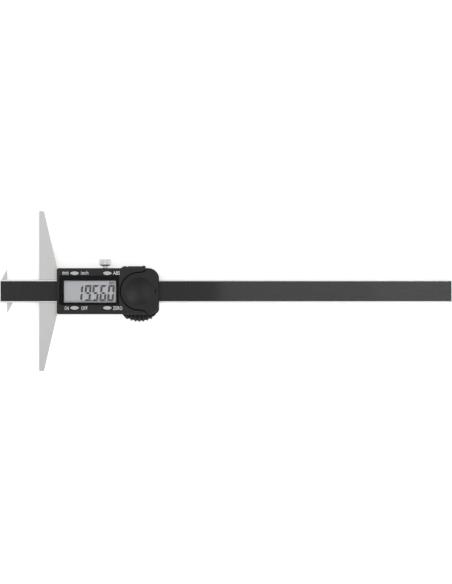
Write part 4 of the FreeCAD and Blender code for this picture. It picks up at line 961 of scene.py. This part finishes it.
def seen_directly(material):
    """1 for camera, glossy and transmission rays, 0 for the rays that light surfaces."""
    path = new_node(material, "ShaderNodeLightPath", {})
    total = path.outputs["Is Camera Ray"]
    for ray in ("Is Glossy Ray", "Is Transmission Ray"):
        total = combined(material, total, path.outputs[ray], "MAXIMUM")
    return total


floor_glow = combined(floor_finish, seen_directly(floor_finish), FLOOR_LIFT, "MULTIPLY")
feed(floor_finish, "Emission Strength", floor_glow)


# Studio light
# A pale room lights the gauge from all round. Three soft boxes hang high over it, and two of them show in
# the glossy film along the beam. A large one at the upper left gives form, and two low ones, on the right
# and in front, pick out the edges.
ROOM_STRENGTH = 0.68
GAUGE_MIDDLE = (0.13, 0.0, 0.0)
SOFT_BOXES = [
    # name, place, aim, width, length, radiance
    ("high_middle_box", (0.19, 0.135, 1.2), (0.19, 0.135, 0.0), 0.13, 0.37, 2.1),
    ("high_right_box", (0.3475, 0.135, 1.2), (0.3475, 0.135, 0.0), 0.185, 0.37, 2.8),
    ("high_left_box", (-0.19, 0.04, 1.2), (-0.19, 0.04, 0.0), 0.23, 0.38, 2.5),
    ("upper_left_box", (-0.7, 1.1, 1.3), GAUGE_MIDDLE, 0.8, 0.8, 1.4),
    ("low_right_box", (0.62, -0.62, 0.6), GAUGE_MIDDLE, 0.6, 0.22, 6.0),
    ("low_front_box", (0.1, -1.0, 0.65), GAUGE_MIDDLE, 0.9, 0.22, 2.5),
]
world = bpy.data.worlds.new("pale_room")
bpy.context.scene.world = world
world.use_nodes = True
room = world.node_tree.nodes["Background"]
room.inputs["Color"].default_value = WHITE
room.inputs["Strength"].default_value = ROOM_STRENGTH


def hang_soft_box(name, place, aim, width, length, radiance):
    """A lamp as wide along X and as long along Y as given, with the same glow whatever its size."""
    lamp = bpy.data.lights.new(name, "AREA")
    lamp.shape = "RECTANGLE"
    lamp.size = width
    lamp.size_y = length
    lamp.energy = radiance * math.pi * width * length
    holder = bpy.data.objects.new(name, lamp)
    bpy.context.scene.collection.objects.link(holder)
    holder.location = place
    holder.rotation_euler = (Vector(aim) - Vector(place)).to_track_quat("-Z", "Y").to_euler()


for box in SOFT_BOXES:
    hang_soft_box(*box)


# Camera
# The photograph looks straight down on the gauge from afar, at 0.7 mm to a pixel. The base's measuring
# face and the beam's middle line lie at the column and the row given here.
PHOTO_WIDTH_PX = 452
PHOTO_HEIGHT_PX = 584
MM_PER_PX = 0.70
FACE_COLUMN_PX = 39.15
BEAM_ROW_PX = 291.2
CAMERA_HEIGHT = 6.0
SENSOR_SIZE_MM = 36.0
SEEN_LEVEL = 3.0 * MM
NEAREST_SEEN = 0.05
FARTHEST_SEEN = 20.0
frame_height = PHOTO_HEIGHT_PX * MM_PER_PX * MM
camera_data = bpy.data.cameras.new("overhead_camera")
camera_data.sensor_width = SENSOR_SIZE_MM
camera_data.lens = SENSOR_SIZE_MM * (CAMERA_HEIGHT - SEEN_LEVEL) / frame_height
camera_data.clip_start = NEAREST_SEEN
camera_data.clip_end = FARTHEST_SEEN
camera = bpy.data.objects.new("overhead_camera", camera_data)
bpy.context.scene.collection.objects.link(camera)
camera.location = (
    (PHOTO_WIDTH_PX / 2 - FACE_COLUMN_PX) * MM_PER_PX * MM,
    (BEAM_ROW_PX - PHOTO_HEIGHT_PX / 2) * MM_PER_PX * MM,
    CAMERA_HEIGHT,
)
bpy.context.scene.camera = camera
bpy.context.scene.view_settings.view_transform = "Standard"
